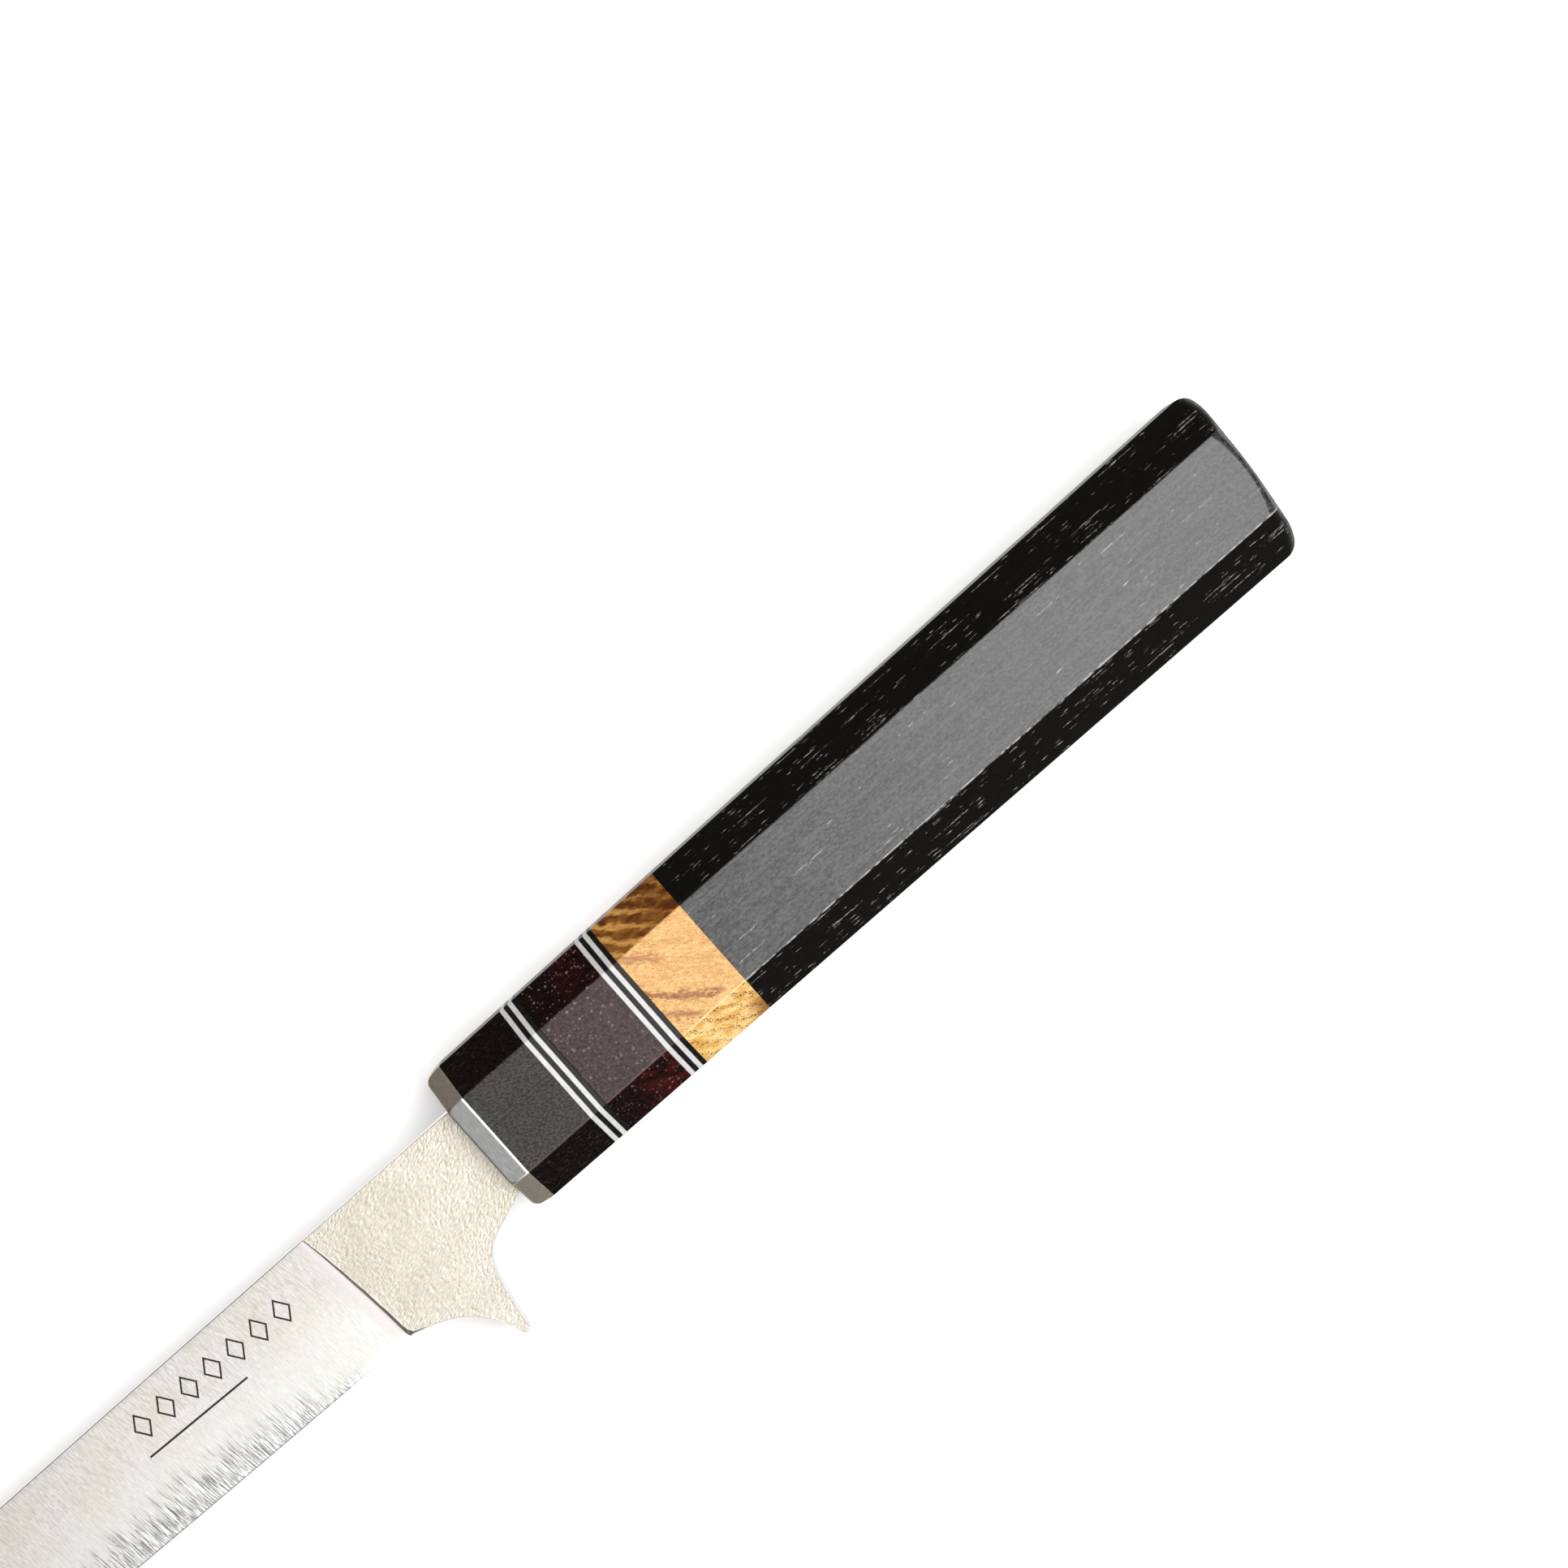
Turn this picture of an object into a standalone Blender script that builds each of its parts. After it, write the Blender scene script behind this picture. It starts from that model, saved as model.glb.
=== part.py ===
"""A boning knife with an octagonal handle, lying on its side on the handle's lower flat.

Everything is modelled about the handle's axis, in the knife's own frame: X runs along the axis from the
blade to the butt and is 0 at the middle of the handle, Y points to the spine, and Z is square to the blade.
The empty "knife" then leans that frame by the handle's taper, so that the lower flat is level at Z = 0.
"""

from math import atan, cos, hypot, pi, radians, sin, sqrt, tan

import bmesh
import bpy

MM = 0.001

# Handle: an octagon that grows evenly towards the butt, so that its eight flats stay plane
HANDLE_LENGTH = 129 * MM
FRONT_HEIGHT = 21.5 * MM
BUTT_HEIGHT = 24.4 * MM
FRONT_THICKNESS = 17.0 * MM
BROAD_FLAT = 12.3 * MM  # width of the flat on each side of the knife, the same from end to end
CORNER_RADIUS = 0.4 * MM

# The stack of pieces, from the blade to the butt. A glue line lies between neighbours
FERRULE_LENGTH = 2.65 * MM
FRONT_BLOCK_LENGTH = 10.0 * MM
MIDDLE_BLOCK_LENGTH = 9.9 * MM
FIGURED_BLOCK_LENGTH = 10.3 * MM
SPACER_THICKNESS = 0.6 * MM
SPACER_COLOURS = ("white", "black", "white", "black")
GLUE_LINE = 0.05 * MM

# Rim radii are given for the narrow flats, then for the broad ones.
# Ferrule: its flats ease inwards towards the blade, from a narrow land to a rounded front rim
FERRULE_EASE = 0.4 * MM
FERRULE_LAND = 0.25 * MM
FERRULE_RIM_RADII = (1.0 * MM, 0.25 * MM)
FERRULE_RIM_STEPS = 4

# Butt: a dome with a rounded rim, longer on the spine side. It falls away towards the broad flats by DOME_SAG
# at their middle, and by CORNER_SAG more at their corners
DOME_X = 63.85 * MM
DOME_LEAN = 0.073
DOME_SAG = 1.3 * MM
CORNER_SAG = 3.1 * MM
DOME_SCALES = (0.85, 0.6, 0.3)
BUTT_RIM_RADII = (2.6 * MM, 0.5 * MM)
BUTT_RIM_STEPS = 4
BUTT_FLAT_STEPS = 6

# Blade: a flat taper from the spine down to a small edge bevel. Curves are (distance ahead of the ferrule, Y)
SPINE_Y = 5.65 * MM
EDGE_CURVE = ((22.7 * MM, -12.5 * MM), (96 * MM, -11.0 * MM), (151 * MM, -10.0 * MM), (173 * MM, 3.1 * MM))
SPINE_CURVE = ((24.5 * MM, SPINE_Y), (96 * MM, SPINE_Y), (143 * MM, SPINE_Y), (173 * MM, 3.5 * MM))
SPINE_THICKNESS = 2.5 * MM
TIP_THICKNESS = 0.9 * MM
BEVEL_HEIGHT = 0.5 * MM
BEVEL_THICKNESS = 0.4 * MM
EDGE_THICKNESS = 0.06 * MM
SPINE_CROWN = 0.3 * MM
BLADE_STEPS = 44
BLADE_CROWDING = 1.35  # above 1, the blade's sections stand closer together towards the tip
FACE_STEPS = 6
ROOT_LENGTH = 2.5 * MM
ROOT_SCALE = 0.8

# Bolster: a plate with a spur that guards the finger. Its lower outline runs down the guard curve from the
# heel to the spur's tip, then up the finger curve to the ferrule
BOLSTER_THICKNESS = 4.4 * MM
BOLSTER_RIM_RADIUS = 0.5 * MM
STEP_AT_SPINE = 24.5 * MM
STEP_BOW = 0.25 * MM
STEP_STEPS = 8
GUARD_CURVE = (
    (22.7 * MM, -12.1 * MM), (18.0 * MM, -13.2 * MM), (13.6 * MM, -14.8 * MM), (11.6 * MM, -21.4 * MM),
)
SPUR_TIP = (11.1 * MM, -21.8 * MM)
FINGER_CURVE = (
    (10.7 * MM, -21.5 * MM), (9.2 * MM, -9.2 * MM), (8.3 * MM, -10.9 * MM), (0.05 * MM, -7.6 * MM),
)
GUARD_STEPS = 16

# Tang: a bar that tapers in height, in one piece with the bolster
TANG_LENGTH = 80 * MM
TANG_HEIGHT = 7.6 * MM
TANG_END_HEIGHT = 5.0 * MM
TANG_THICKNESS = 3.0 * MM
TANG_IN_BOLSTER = 4 * MM
TANG_CLEARANCE = 0.1 * MM

# Core: a dowel through the stack, with a slot that holds the tang in epoxy
DOWEL_RADIUS = 6.0 * MM
DOWEL_SIDES = 40
DOWEL_BEYOND_TANG = 4.0 * MM
EPOXY_WALL = 0.5 * MM
EPOXY_BEYOND_TANG = 1.2 * MM

FRONT_X = -HANDLE_LENGTH / 2
BUTT_X = HANDLE_LENGTH / 2
STACK_X = FRONT_X + FERRULE_LENGTH + GLUE_LINE
TAPER = (BUTT_HEIGHT - FRONT_HEIGHT) / 2 / HANDLE_LENGTH
TANG_END_X = FRONT_X + TANG_LENGTH
EPOXY_END_X = TANG_END_X + EPOXY_BEYOND_TANG
DOWEL_END_X = TANG_END_X + DOWEL_BEYOND_TANG
EPOXY_HEIGHT = TANG_HEIGHT + 2 * EPOXY_WALL
EPOXY_THICKNESS = TANG_THICKNESS + 2 * EPOXY_WALL


# ---- scene and mesh helpers ----


def clear_scene():
    for obj in list(bpy.data.objects):
        bpy.data.objects.remove(obj)


def make_material(name, colour, roughness, metallic=0.0):
    made = bpy.data.materials.new(name)
    made.use_nodes = True
    shader = made.node_tree.nodes["Principled BSDF"]
    shader.inputs["Base Color"].default_value = (*colour, 1)
    shader.inputs["Roughness"].default_value = roughness
    shader.inputs["Metallic"].default_value = metallic
    return made


def make_knife_frame():
    """The empty that carries every piece and leans the knife until its lower flat is level at Z = 0."""
    frame = bpy.data.objects.new("knife", None)
    bpy.context.scene.collection.objects.link(frame)
    lean = atan(TAPER)
    middle = half_thickness(0)
    frame.rotation_euler = (0, -lean, 0)
    frame.location = (-middle * sin(lean), 0, middle * cos(lean))
    return frame


def add_object(name, bm, frame):
    bmesh.ops.recalc_face_normals(bm, faces=bm.faces)
    mesh = bpy.data.meshes.new(name)
    bm.to_mesh(mesh)
    bm.free()
    obj = bpy.data.objects.new(name, mesh)
    bpy.context.scene.collection.objects.link(obj)
    obj.parent = frame
    return obj


def add_piece(name, bm, frame, material):
    piece = add_object(name, bm, frame)
    piece.data.shade_smooth()
    piece.data.set_sharp_from_angle(angle=radians(30))
    piece.data.materials.append(material)
    return piece


def add_guide(name, bm, frame):
    """A shape that only cuts a piece or is joined to one."""
    guide = add_object(name, bm, frame)
    guide.hide_render = True
    guide.display_type = "WIRE"
    return guide


def combine(piece, guide, operation):
    modifier = piece.modifiers.new(guide.name, "BOOLEAN")
    modifier.operation = operation
    modifier.solver = "EXACT"
    modifier.object = guide


def loft(rings):
    """A closed solid through rings of equally many points, with a face on each end ring."""
    bm = bmesh.new()
    rows = [[bm.verts.new(point) for point in ring] for ring in rings]
    for near, far in zip(rows, rows[1:]):
        for i in range(len(near)):
            bm.faces.new((near[i - 1], near[i], far[i], far[i - 1]))
    bm.faces.new(rows[0])
    bm.faces.new(rows[-1])
    return bm


def bar(x0, x1, height, thickness, end_height=None):
    """A bar along the knife's axis, which may taper in height."""
    rings = []
    for x, full in ((x0, height), (x1, end_height or height)):
        y, z = full / 2, thickness / 2
        rings.append([(x, -y, -z), (x, y, -z), (x, y, z), (x, -y, z)])
    return loft(rings)


def round_bar(x0, x1, radius):
    angles = [2 * pi * i / DOWEL_SIDES for i in range(DOWEL_SIDES)]
    return loft([[(x, radius * cos(a), radius * sin(a)) for a in angles] for x in (x0, x1)])


def bezier(points, t):
    weights = ((1 - t) ** 3, 3 * t * (1 - t) ** 2, 3 * t * t * (1 - t), t**3)
    return tuple(sum(w * p[axis] for w, p in zip(weights, points)) for axis in (0, 1))


def between(start, end, share):
    return tuple(a + (b - a) * share for a, b in zip(start, end))


# ---- handle ----


def half_height(x):
    return FRONT_HEIGHT / 2 + TAPER * (x - FRONT_X)


def half_thickness(x):
    return FRONT_THICKNESS / 2 + TAPER * (x - FRONT_X)


def octagon(x, inset, broad_inset):
    """The octagon's eight corners at x as (y, z). The insets move its narrow and broad flats inwards."""
    height = half_height(x) - inset
    thickness = half_thickness(x) - broad_inset
    broad = BROAD_FLAT / 2 - (inset + broad_inset) / sqrt(2) + broad_inset
    narrow = broad + thickness - height
    half = [(height, narrow), (broad, thickness), (-broad, thickness), (-height, narrow)]
    return half + [(-y, -z) for y, z in half]


def section(x, inset=0.0, flat_steps=1, broad_inset=None):
    """The octagon's outline at x as (y, z), with each corner rounded in two steps."""
    corners = octagon(x, inset, inset if broad_inset is None else broad_inset)
    reach = CORNER_RADIUS * tan(pi / 8)
    outline = []
    for i, corner in enumerate(corners):
        before, after = corners[i - 1], corners[(i + 1) % len(corners)]
        into = between(corner, before, reach / hypot(corner[0] - before[0], corner[1] - before[1]))
        length = hypot(after[0] - corner[0], after[1] - corner[1])
        start = between(corner, after, reach / length)
        end = between(after, corner, reach / length)
        outline.append(between(between(into, start, 0.5), corner, 0.5))
        outline += [between(start, end, step / flat_steps) for step in range(flat_steps + 1)]
    return outline


def ring_at(x, inset=0.0, flat_steps=1, broad_inset=None):
    return [(x, y, z) for y, z in section(x, inset, flat_steps, broad_inset)]


def rim_inset(depth, radius):
    """How far a rounded rim stands inside its flat, this deep behind the end."""
    return radius - sqrt(radius**2 - max(0, radius - depth) ** 2)


def make_ferrule(frame, material):
    """The metal end plate, with a slot that the tang passes through."""
    eased = FERRULE_LENGTH - FERRULE_LAND
    rings = []
    for i in range(FERRULE_RIM_STEPS + 1):
        depth = FERRULE_RIM_RADII[0] * (1 - cos(pi / 2 * i / FERRULE_RIM_STEPS))
        ease = FERRULE_EASE * (1 - depth / eased)
        narrow, broad = (ease + rim_inset(depth, radius) for radius in FERRULE_RIM_RADII)
        rings.append(ring_at(FRONT_X + depth, narrow, 1, broad))
    rings += [ring_at(FRONT_X + eased), ring_at(FRONT_X + FERRULE_LENGTH)]
    ferrule = add_piece("ferrule", loft(rings), frame, material)
    height = TANG_HEIGHT + 2 * TANG_CLEARANCE
    slot = bar(FRONT_X - FERRULE_LENGTH, STACK_X, height, TANG_THICKNESS + 2 * TANG_CLEARANCE)
    combine(ferrule, add_guide("ferrule_slot", slot, frame), "DIFFERENCE")


def make_slice(name, x, length, frame, material, bore):
    """One bored slice of the octagon. Returns the x where the next one starts."""
    piece = add_piece(name, loft([ring_at(x), ring_at(x + length)]), frame, material)
    combine(piece, bore, "DIFFERENCE")
    return x + length + GLUE_LINE


def make_spacers(stack, x, frame, finish, bore):
    for i, colour in enumerate(SPACER_COLOURS):
        name = f"{stack}_{colour}_spacer_{i // 2 + 1}"
        x = make_slice(name, x, SPACER_THICKNESS, frame, finish[f"{colour}_fibre"], bore)
    return x


def butt_x(y, z):
    """X of the domed butt at (y, z)."""
    fall = DOME_SAG + CORNER_SAG * (y / half_height(BUTT_X)) ** 2
    return DOME_X + DOME_LEAN * y - fall * (z / half_thickness(BUTT_X)) ** 4


def butt_ring(angle, scale=1.0):
    """A ring of the butt's rim, from angle 0 on the flats to pi / 2 on the dome, or of the dome when scaled
    down. Each point's section is taken at its own x, so it stays on its flat."""
    narrow, broad = BUTT_RIM_RADII
    ring = []
    for i, (y, z) in enumerate(section(BUTT_X, 0.0, BUTT_FLAT_STEPS)):
        radius = broad + (narrow - broad) * (abs(y) / half_height(BUTT_X)) ** 3
        inset, depth = radius * (1 - cos(angle)), radius * (1 - sin(angle))
        y, z = section(BUTT_X, inset, BUTT_FLAT_STEPS)[i]
        y, z = section(butt_x(y * scale, z * scale) - depth, inset, BUTT_FLAT_STEPS)[i]
        ring.append((butt_x(y * scale, z * scale) - depth, y * scale, z * scale))
    return ring


def make_handle_body(x, frame, material, bore):
    rings = [ring_at(x, 0.0, BUTT_FLAT_STEPS)]
    rings += [butt_ring(pi / 2 * i / BUTT_RIM_STEPS) for i in range(BUTT_RIM_STEPS + 1)]
    rings += [butt_ring(pi / 2, scale) for scale in DOME_SCALES]
    body = add_piece("handle_body", loft(rings), frame, material)
    combine(body, bore, "DIFFERENCE")


def make_core(frame, finish):
    """The dowel, and the epoxy that fills its slot around the tang."""
    dowel = add_piece(
        "core_dowel", round_bar(STACK_X, DOWEL_END_X, DOWEL_RADIUS - GLUE_LINE), frame, finish["dowel_wood"]
    )
    slot = bar(
        FRONT_X, EPOXY_END_X + GLUE_LINE, EPOXY_HEIGHT + 2 * GLUE_LINE, EPOXY_THICKNESS + 2 * GLUE_LINE
    )
    combine(dowel, add_guide("dowel_slot", slot, frame), "DIFFERENCE")
    epoxy = add_piece(
        "tang_epoxy", bar(STACK_X, EPOXY_END_X, EPOXY_HEIGHT, EPOXY_THICKNESS), frame, finish["epoxy"]
    )
    combine(epoxy, add_guide("tang_space", tang_bar(GLUE_LINE), frame), "DIFFERENCE")


def make_handle(frame, finish):
    """The ferrule, the blocks and spacers in order, the body, and the core that runs through them."""
    bore = add_guide("dowel_bore", round_bar(FRONT_X, DOWEL_END_X + GLUE_LINE, DOWEL_RADIUS), frame)
    make_ferrule(frame, finish["ferrule_metal"])
    x = make_slice("front_block", STACK_X, FRONT_BLOCK_LENGTH, frame, finish["dark_wood"], bore)
    x = make_spacers("front", x, frame, finish, bore)
    x = make_slice("middle_block", x, MIDDLE_BLOCK_LENGTH, frame, finish["burgundy_wood"], bore)
    x = make_spacers("rear", x, frame, finish, bore)
    x = make_slice("figured_block", x, FIGURED_BLOCK_LENGTH, frame, finish["figured_wood"], bore)
    make_handle_body(x, frame, finish["black_wood"], bore)
    make_core(frame, finish)


# ---- blade, bolster and tang: one forging ----


def ahead(distance):
    """X of a point this far ahead of the ferrule."""
    return FRONT_X - distance


def blade_ring(t):
    """The blade's cross-section at t, from 0 at the bolster to 1 at the tip."""
    edge, spine = bezier(EDGE_CURVE, t), bezier(SPINE_CURVE, t)
    height = hypot(spine[0] - edge[0], spine[1] - edge[1])
    thickness = SPINE_THICKNESS + (TIP_THICKNESS - SPINE_THICKNESS) * t
    bevel_thickness = min(BEVEL_THICKNESS, thickness / 2)
    bevel = min(BEVEL_HEIGHT / height, 0.3)
    crown = min(SPINE_CROWN, thickness / 4, height / 4)
    top = 1 - crown / height
    rows = [(0.0, EDGE_THICKNESS)]
    for i in range(FACE_STEPS + 1):
        rows.append(between((bevel, bevel_thickness), (top, thickness), i / FACE_STEPS))
    rows.append((1.0, thickness - 2 * crown))
    ring = []
    for side, walk in ((0.5, rows), (-0.5, rows[::-1])):
        for up, width in walk:
            x, y = between(edge, spine, up)
            ring.append((ahead(x), y, side * width))
    return ring


def blade_bar():
    """The ground blade, with a slimmer root that ends inside the bolster."""
    full = blade_ring(0)
    middle_y = (full[0][1] + SPINE_Y) / 2
    root = [(x + ROOT_LENGTH, middle_y + (y - middle_y) * ROOT_SCALE, z * ROOT_SCALE) for x, y, z in full]
    shares = [1 - (1 - i / BLADE_STEPS) ** BLADE_CROWDING for i in range(BLADE_STEPS + 1)]
    return loft([root] + [blade_ring(t) for t in shares])


def bolster_outline():
    """(x, y) around the bolster and its spur, starting at the spine end of the step."""
    step = []
    for i in range(STEP_STEPS):
        share = i / STEP_STEPS
        x, y = between((STEP_AT_SPINE, SPINE_Y), GUARD_CURVE[0], share)
        step.append((x - STEP_BOW * 4 * share * (1 - share), y))
    shares = [i / GUARD_STEPS for i in range(GUARD_STEPS + 1)]
    guard = [bezier(GUARD_CURVE, t) for t in shares]
    finger = [bezier(FINGER_CURVE, t) for t in shares]
    outline = step + guard + [SPUR_TIP] + finger + [(GLUE_LINE, SPINE_Y)]
    return [(ahead(x), y) for x, y in outline]


def bolster_plate():
    """The bolster, with its rim rounded on both sides except against the ferrule."""
    z = BOLSTER_THICKNESS / 2
    bm = loft([[(x, y, side) for x, y in bolster_outline()] for side in (-z, z)])
    back = ahead(GLUE_LINE) - GLUE_LINE
    rim = []
    for edge in bm.edges:
        one, other = (vert.co for vert in edge.verts)
        if abs(one.z - other.z) < GLUE_LINE and min(one.x, other.x) < back:
            rim.append(edge)
    bmesh.ops.bevel(bm, geom=rim, offset=BOLSTER_RIM_RADIUS, segments=2, profile=0.5, affect="EDGES")
    return bm


def tang_bar(allowance=0.0):
    """The tang, grown by an allowance on every side."""
    return bar(
        FRONT_X - TANG_IN_BOLSTER,
        TANG_END_X + allowance,
        TANG_HEIGHT + 2 * allowance,
        TANG_THICKNESS + 2 * allowance,
        TANG_END_HEIGHT + 2 * allowance,
    )


def make_blade(frame, material):
    blade = add_piece("blade", blade_bar(), frame, material)
    combine(blade, add_guide("bolster_blank", bolster_plate(), frame), "UNION")
    combine(blade, add_guide("tang_blank", tang_bar(), frame), "UNION")


def main():
    clear_scene()
    finish = {
        "blade_steel": make_material("blade_steel", (0.80, 0.79, 0.77), 0.32, 1.0),
        "ferrule_metal": make_material("ferrule_metal", (0.62, 0.61, 0.59), 0.30, 1.0),
        "dark_wood": make_material("dark_wood", (0.030, 0.022, 0.018), 0.35),
        "burgundy_wood": make_material("burgundy_wood", (0.060, 0.012, 0.012), 0.35),
        "figured_wood": make_material("figured_wood", (0.62, 0.34, 0.12), 0.40),
        "black_wood": make_material("black_wood", (0.012, 0.011, 0.011), 0.35),
        "white_fibre": make_material("white_fibre", (0.80, 0.78, 0.74), 0.45),
        "black_fibre": make_material("black_fibre", (0.010, 0.010, 0.011), 0.45),
        "dowel_wood": make_material("dowel_wood", (0.58, 0.42, 0.26), 0.60),
        "epoxy": make_material("epoxy", (0.45, 0.33, 0.16), 0.20),
    }
    frame = make_knife_frame()
    make_blade(frame, finish["blade_steel"])
    make_handle(frame, finish)


main()
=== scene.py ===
from math import atan, cos, pi, radians, sin, sqrt, tan

import bmesh
import bpy
import numpy as np
from mathutils import Euler, Matrix, Vector, noise


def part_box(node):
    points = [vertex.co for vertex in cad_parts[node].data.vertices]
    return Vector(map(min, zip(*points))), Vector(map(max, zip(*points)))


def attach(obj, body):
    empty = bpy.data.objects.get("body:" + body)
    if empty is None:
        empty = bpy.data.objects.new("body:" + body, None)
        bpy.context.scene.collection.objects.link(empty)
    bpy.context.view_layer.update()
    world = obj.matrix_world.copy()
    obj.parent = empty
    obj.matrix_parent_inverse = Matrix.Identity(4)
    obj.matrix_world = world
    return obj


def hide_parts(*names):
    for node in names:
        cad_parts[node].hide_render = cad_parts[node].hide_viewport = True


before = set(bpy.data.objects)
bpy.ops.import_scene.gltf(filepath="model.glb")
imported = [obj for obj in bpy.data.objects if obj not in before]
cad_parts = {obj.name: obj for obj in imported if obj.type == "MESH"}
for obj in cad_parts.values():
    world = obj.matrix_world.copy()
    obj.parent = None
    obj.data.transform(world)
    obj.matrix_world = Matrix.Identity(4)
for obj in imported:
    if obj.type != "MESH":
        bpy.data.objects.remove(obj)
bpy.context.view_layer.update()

MM = 0.001


def in_mm(*points):
    return tuple(tuple(value * MM for value in point) for point in points)


# Handle sections, as in the CAD: a broad flat of constant width on each side, and rounded corners
BROAD_FLAT = 12.3 * MM
CORNER_RADIUS = 0.4 * MM
CORNER_STEPS = 6
FLAT_STEPS = 8
SLICE_STEP = 0.5 * MM
SEAM_EASE = 0.05 * MM
GLUE_LINE = 0.05 * MM
BORE_RADIUS = 6.0 * MM
BORE_SIDES = 48

FERRULE_EASE = 0.4 * MM
FERRULE_LAND = 0.28 * MM
LAND_DROP = 0.04 * MM  # how far the land falls again towards the wood
FERRULE_RIM_RADII = (1.0 * MM, 0.25 * MM)  # at the narrow flats and at the broad flats
(FERRULE_RIM_DEPTHS,) = in_mm((0, 0.01, 0.03, 0.06, 0.1, 0.15, 0.2, 0.25, 0.35, 0.5, 0.75, 1.0))
FERRULE_SHARP = 8.3  # degrees; keeps the rim's shallow facets crisp
TANG_SLOT = (7.8 * MM, 3.2 * MM)

DOME_LEAN = 0.073  # X per Y: the butt is cut a little aslant
DOME_SAG = 1.3 * MM
CORNER_SAG = 3.1 * MM
BUTT_RIM_RADII = (2.6 * MM, 0.5 * MM)  # at the narrow flats and at the broad flats
BUTT_RIM_STEPS = 12
DOME_STEPS = 10
BUTT_CROWN = 0.70 * MM

# Forging outlines as Bezier curves, as (distance ahead of the ferrule, Y)
SPINE_CURVE = in_mm((24.5, 5.65), (96, 5.65), (143, 5.65), (173, 3.5))
EDGE_CURVE = in_mm((22.7, -12.5), (96, -11.0), (151, -10.0), (173, 3.1))
GUARD_CURVE = in_mm((22.7, -12.1), (18.0, -13.2), (13.6, -14.8), (11.6, -21.4))
FINGER_CURVE = in_mm((10.7, -21.5), (9.2, -9.2), (8.3, -10.9), (0.05, -7.6))
SPUR_TIP = (11.1 * MM, -21.7 * MM)
STEP_AT_SPINE, SPINE_Y = SPINE_CURVE[0]
OUTLINE_STEPS = 200
OUTLINE_POINTS = 4000

SPINE_THICKNESS = 2.5 * MM
TIP_THICKNESS = 0.9 * MM
BEVEL_HEIGHT = 0.5 * MM
BEVEL_SHARE = 0.3  # of the blade's height, at most
BEVEL_THICKNESS = 0.4 * MM
EDGE_THICKNESS = 0.06 * MM
SPINE_CROWN = 0.12 * MM
CROWN_STEPS = 5
BLADE_STATIONS = 240
BLADE_CROWDING = 1.35  # draws the stations together towards the point
FACE_STEPS = 24
ROOT_LENGTH = 2.5 * MM
ROOT_SCALE = 0.8

BOLSTER_THICKNESS = 4.4 * MM
STEP_BOW = 0.25 * MM
BOW_FADE = 6  # the power with which the step's bow dies out towards the ferrule
RIM_RADIUS = 0.10 * MM
CHAMFER_SLOPE = 1.6
STEP_CHAMFER = (0.10 * MM, 0.62 * MM)  # width at the spine and at the heel
HEEL_CHAMFER = 0.45 * MM
HEEL_CHAMFER_LENGTH = 3.4 * MM
HEEL_NOTCH = 0.9 * MM
BOLSTER_COLUMNS = 280
BOLSTER_ROWS = 180
COLUMN_CROWDING = 0.09  # how far columns and rows draw together towards the rims
ROW_CROWDING = 0.11
WALL_ROWS = 12
SKIN_MATERIAL = 1  # place of the bolster's skin among the forging's materials

# Wrinkles of the bolster's skin
PEBBLE_SIZE = 0.23 * MM
PEBBLE_STRETCH = 2.6
PEBBLE_LEAN = radians(25)
PEBBLE_HEIGHT = 0.025 * MM
PEBBLE_FADE = 0.2 * MM
PEBBLE_WARP_SCALE = 0.45
PEBBLE_FINE_SCALE = 2.1
PEBBLE_MIX = (0.9, 0.12, -0.8)  # shares of ridge and fine grain, and the level they start from

TANG_LENGTH = 80 * MM
TANG_HEIGHTS = (7.6 * MM, 5.0 * MM)
TANG_THICKNESS = 3.0 * MM
TANG_IN_BOLSTER = 4 * MM

# Materials: places are in mm, in the knife's own frame
FLAT_EDGE = BROAD_FLAT / 2 / MM  # Y where the broad flats meet the chamfers
FLAT_TO_CHAMFER = (FLAT_EDGE - 0.1, FLAT_EDGE + 0.15)

DARK_LINE_PITCH = 0.62
DARK_LINE_SLOPE = 0.045
DARK_LINE_LEVEL = -1.5  # Y of the middle of the long lines

BURGUNDY_LEAN = radians(28)
GLOW_FROM = (-46.5, -42.0)  # X over which the red glow sets in
CROWD_FROM = (42.0, 50.0)  # Y - X, growing towards the corner where the pores crowd
SPECKS = ((0.78, 0.34, 0.8), (0.45, 0.38, 0.55))  # cell size, reach in cells, strength

FIGURE_LEAN = radians(38)
# Each streak: mm square to the figure, where it ends along it, and how dark it is
STREAKS = ((-22.2, -19.4, 1.0), (-24.7, -22.3, 0.8), (-17.6, -26.6, 0.6))
BAND_PITCH = 1.75
PORE_ROW_PITCH = 1.45
BANDS_CLOSE = (-33.0, -28.5)  # X over which the dark bands close up
BROWN_CORNER = ((-29.5, -26.5), (-9.8, -8.2))  # X and Y over which the lower chamfer darkens

BRUSH_LEAN = radians(-5.5)
MARKS_TOP = (-8.8, -5.6)  # how high the coarse marks reach, near the heel and further out
MARKS_START = (-103.0, -94.0)  # X over which they set in
MARKS_RISE = (-117.0, -94.0)  # X over which they rise
SHADE_RUN = (-130.0, -92.0)  # X over which painted shade darkens the steel towards the heel
EDGE_HIGHLIGHT_RUN = (-7.5, 2.5)  # Y over which a painted highlight whitens the steel towards the edge
STEP_TINT_RUN = (-91.0, -88.8)  # X over which a painted pinkish band of reflected light and shade sets in by the step
STEP_TINT_SLOPE = 0.11
NICKS_ABOVE = ((-125.0, -87.0), (-11.8, -12.4))  # X and Y of the line that the nicks rise from
NICK_HEIGHTS = (0.2, 2.0)
NICKS_END = (-97.0, -92.0)
BEVEL_FADE = (-104.0, -92.0)
WALL_ROUGHNESS = 0.15

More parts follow.
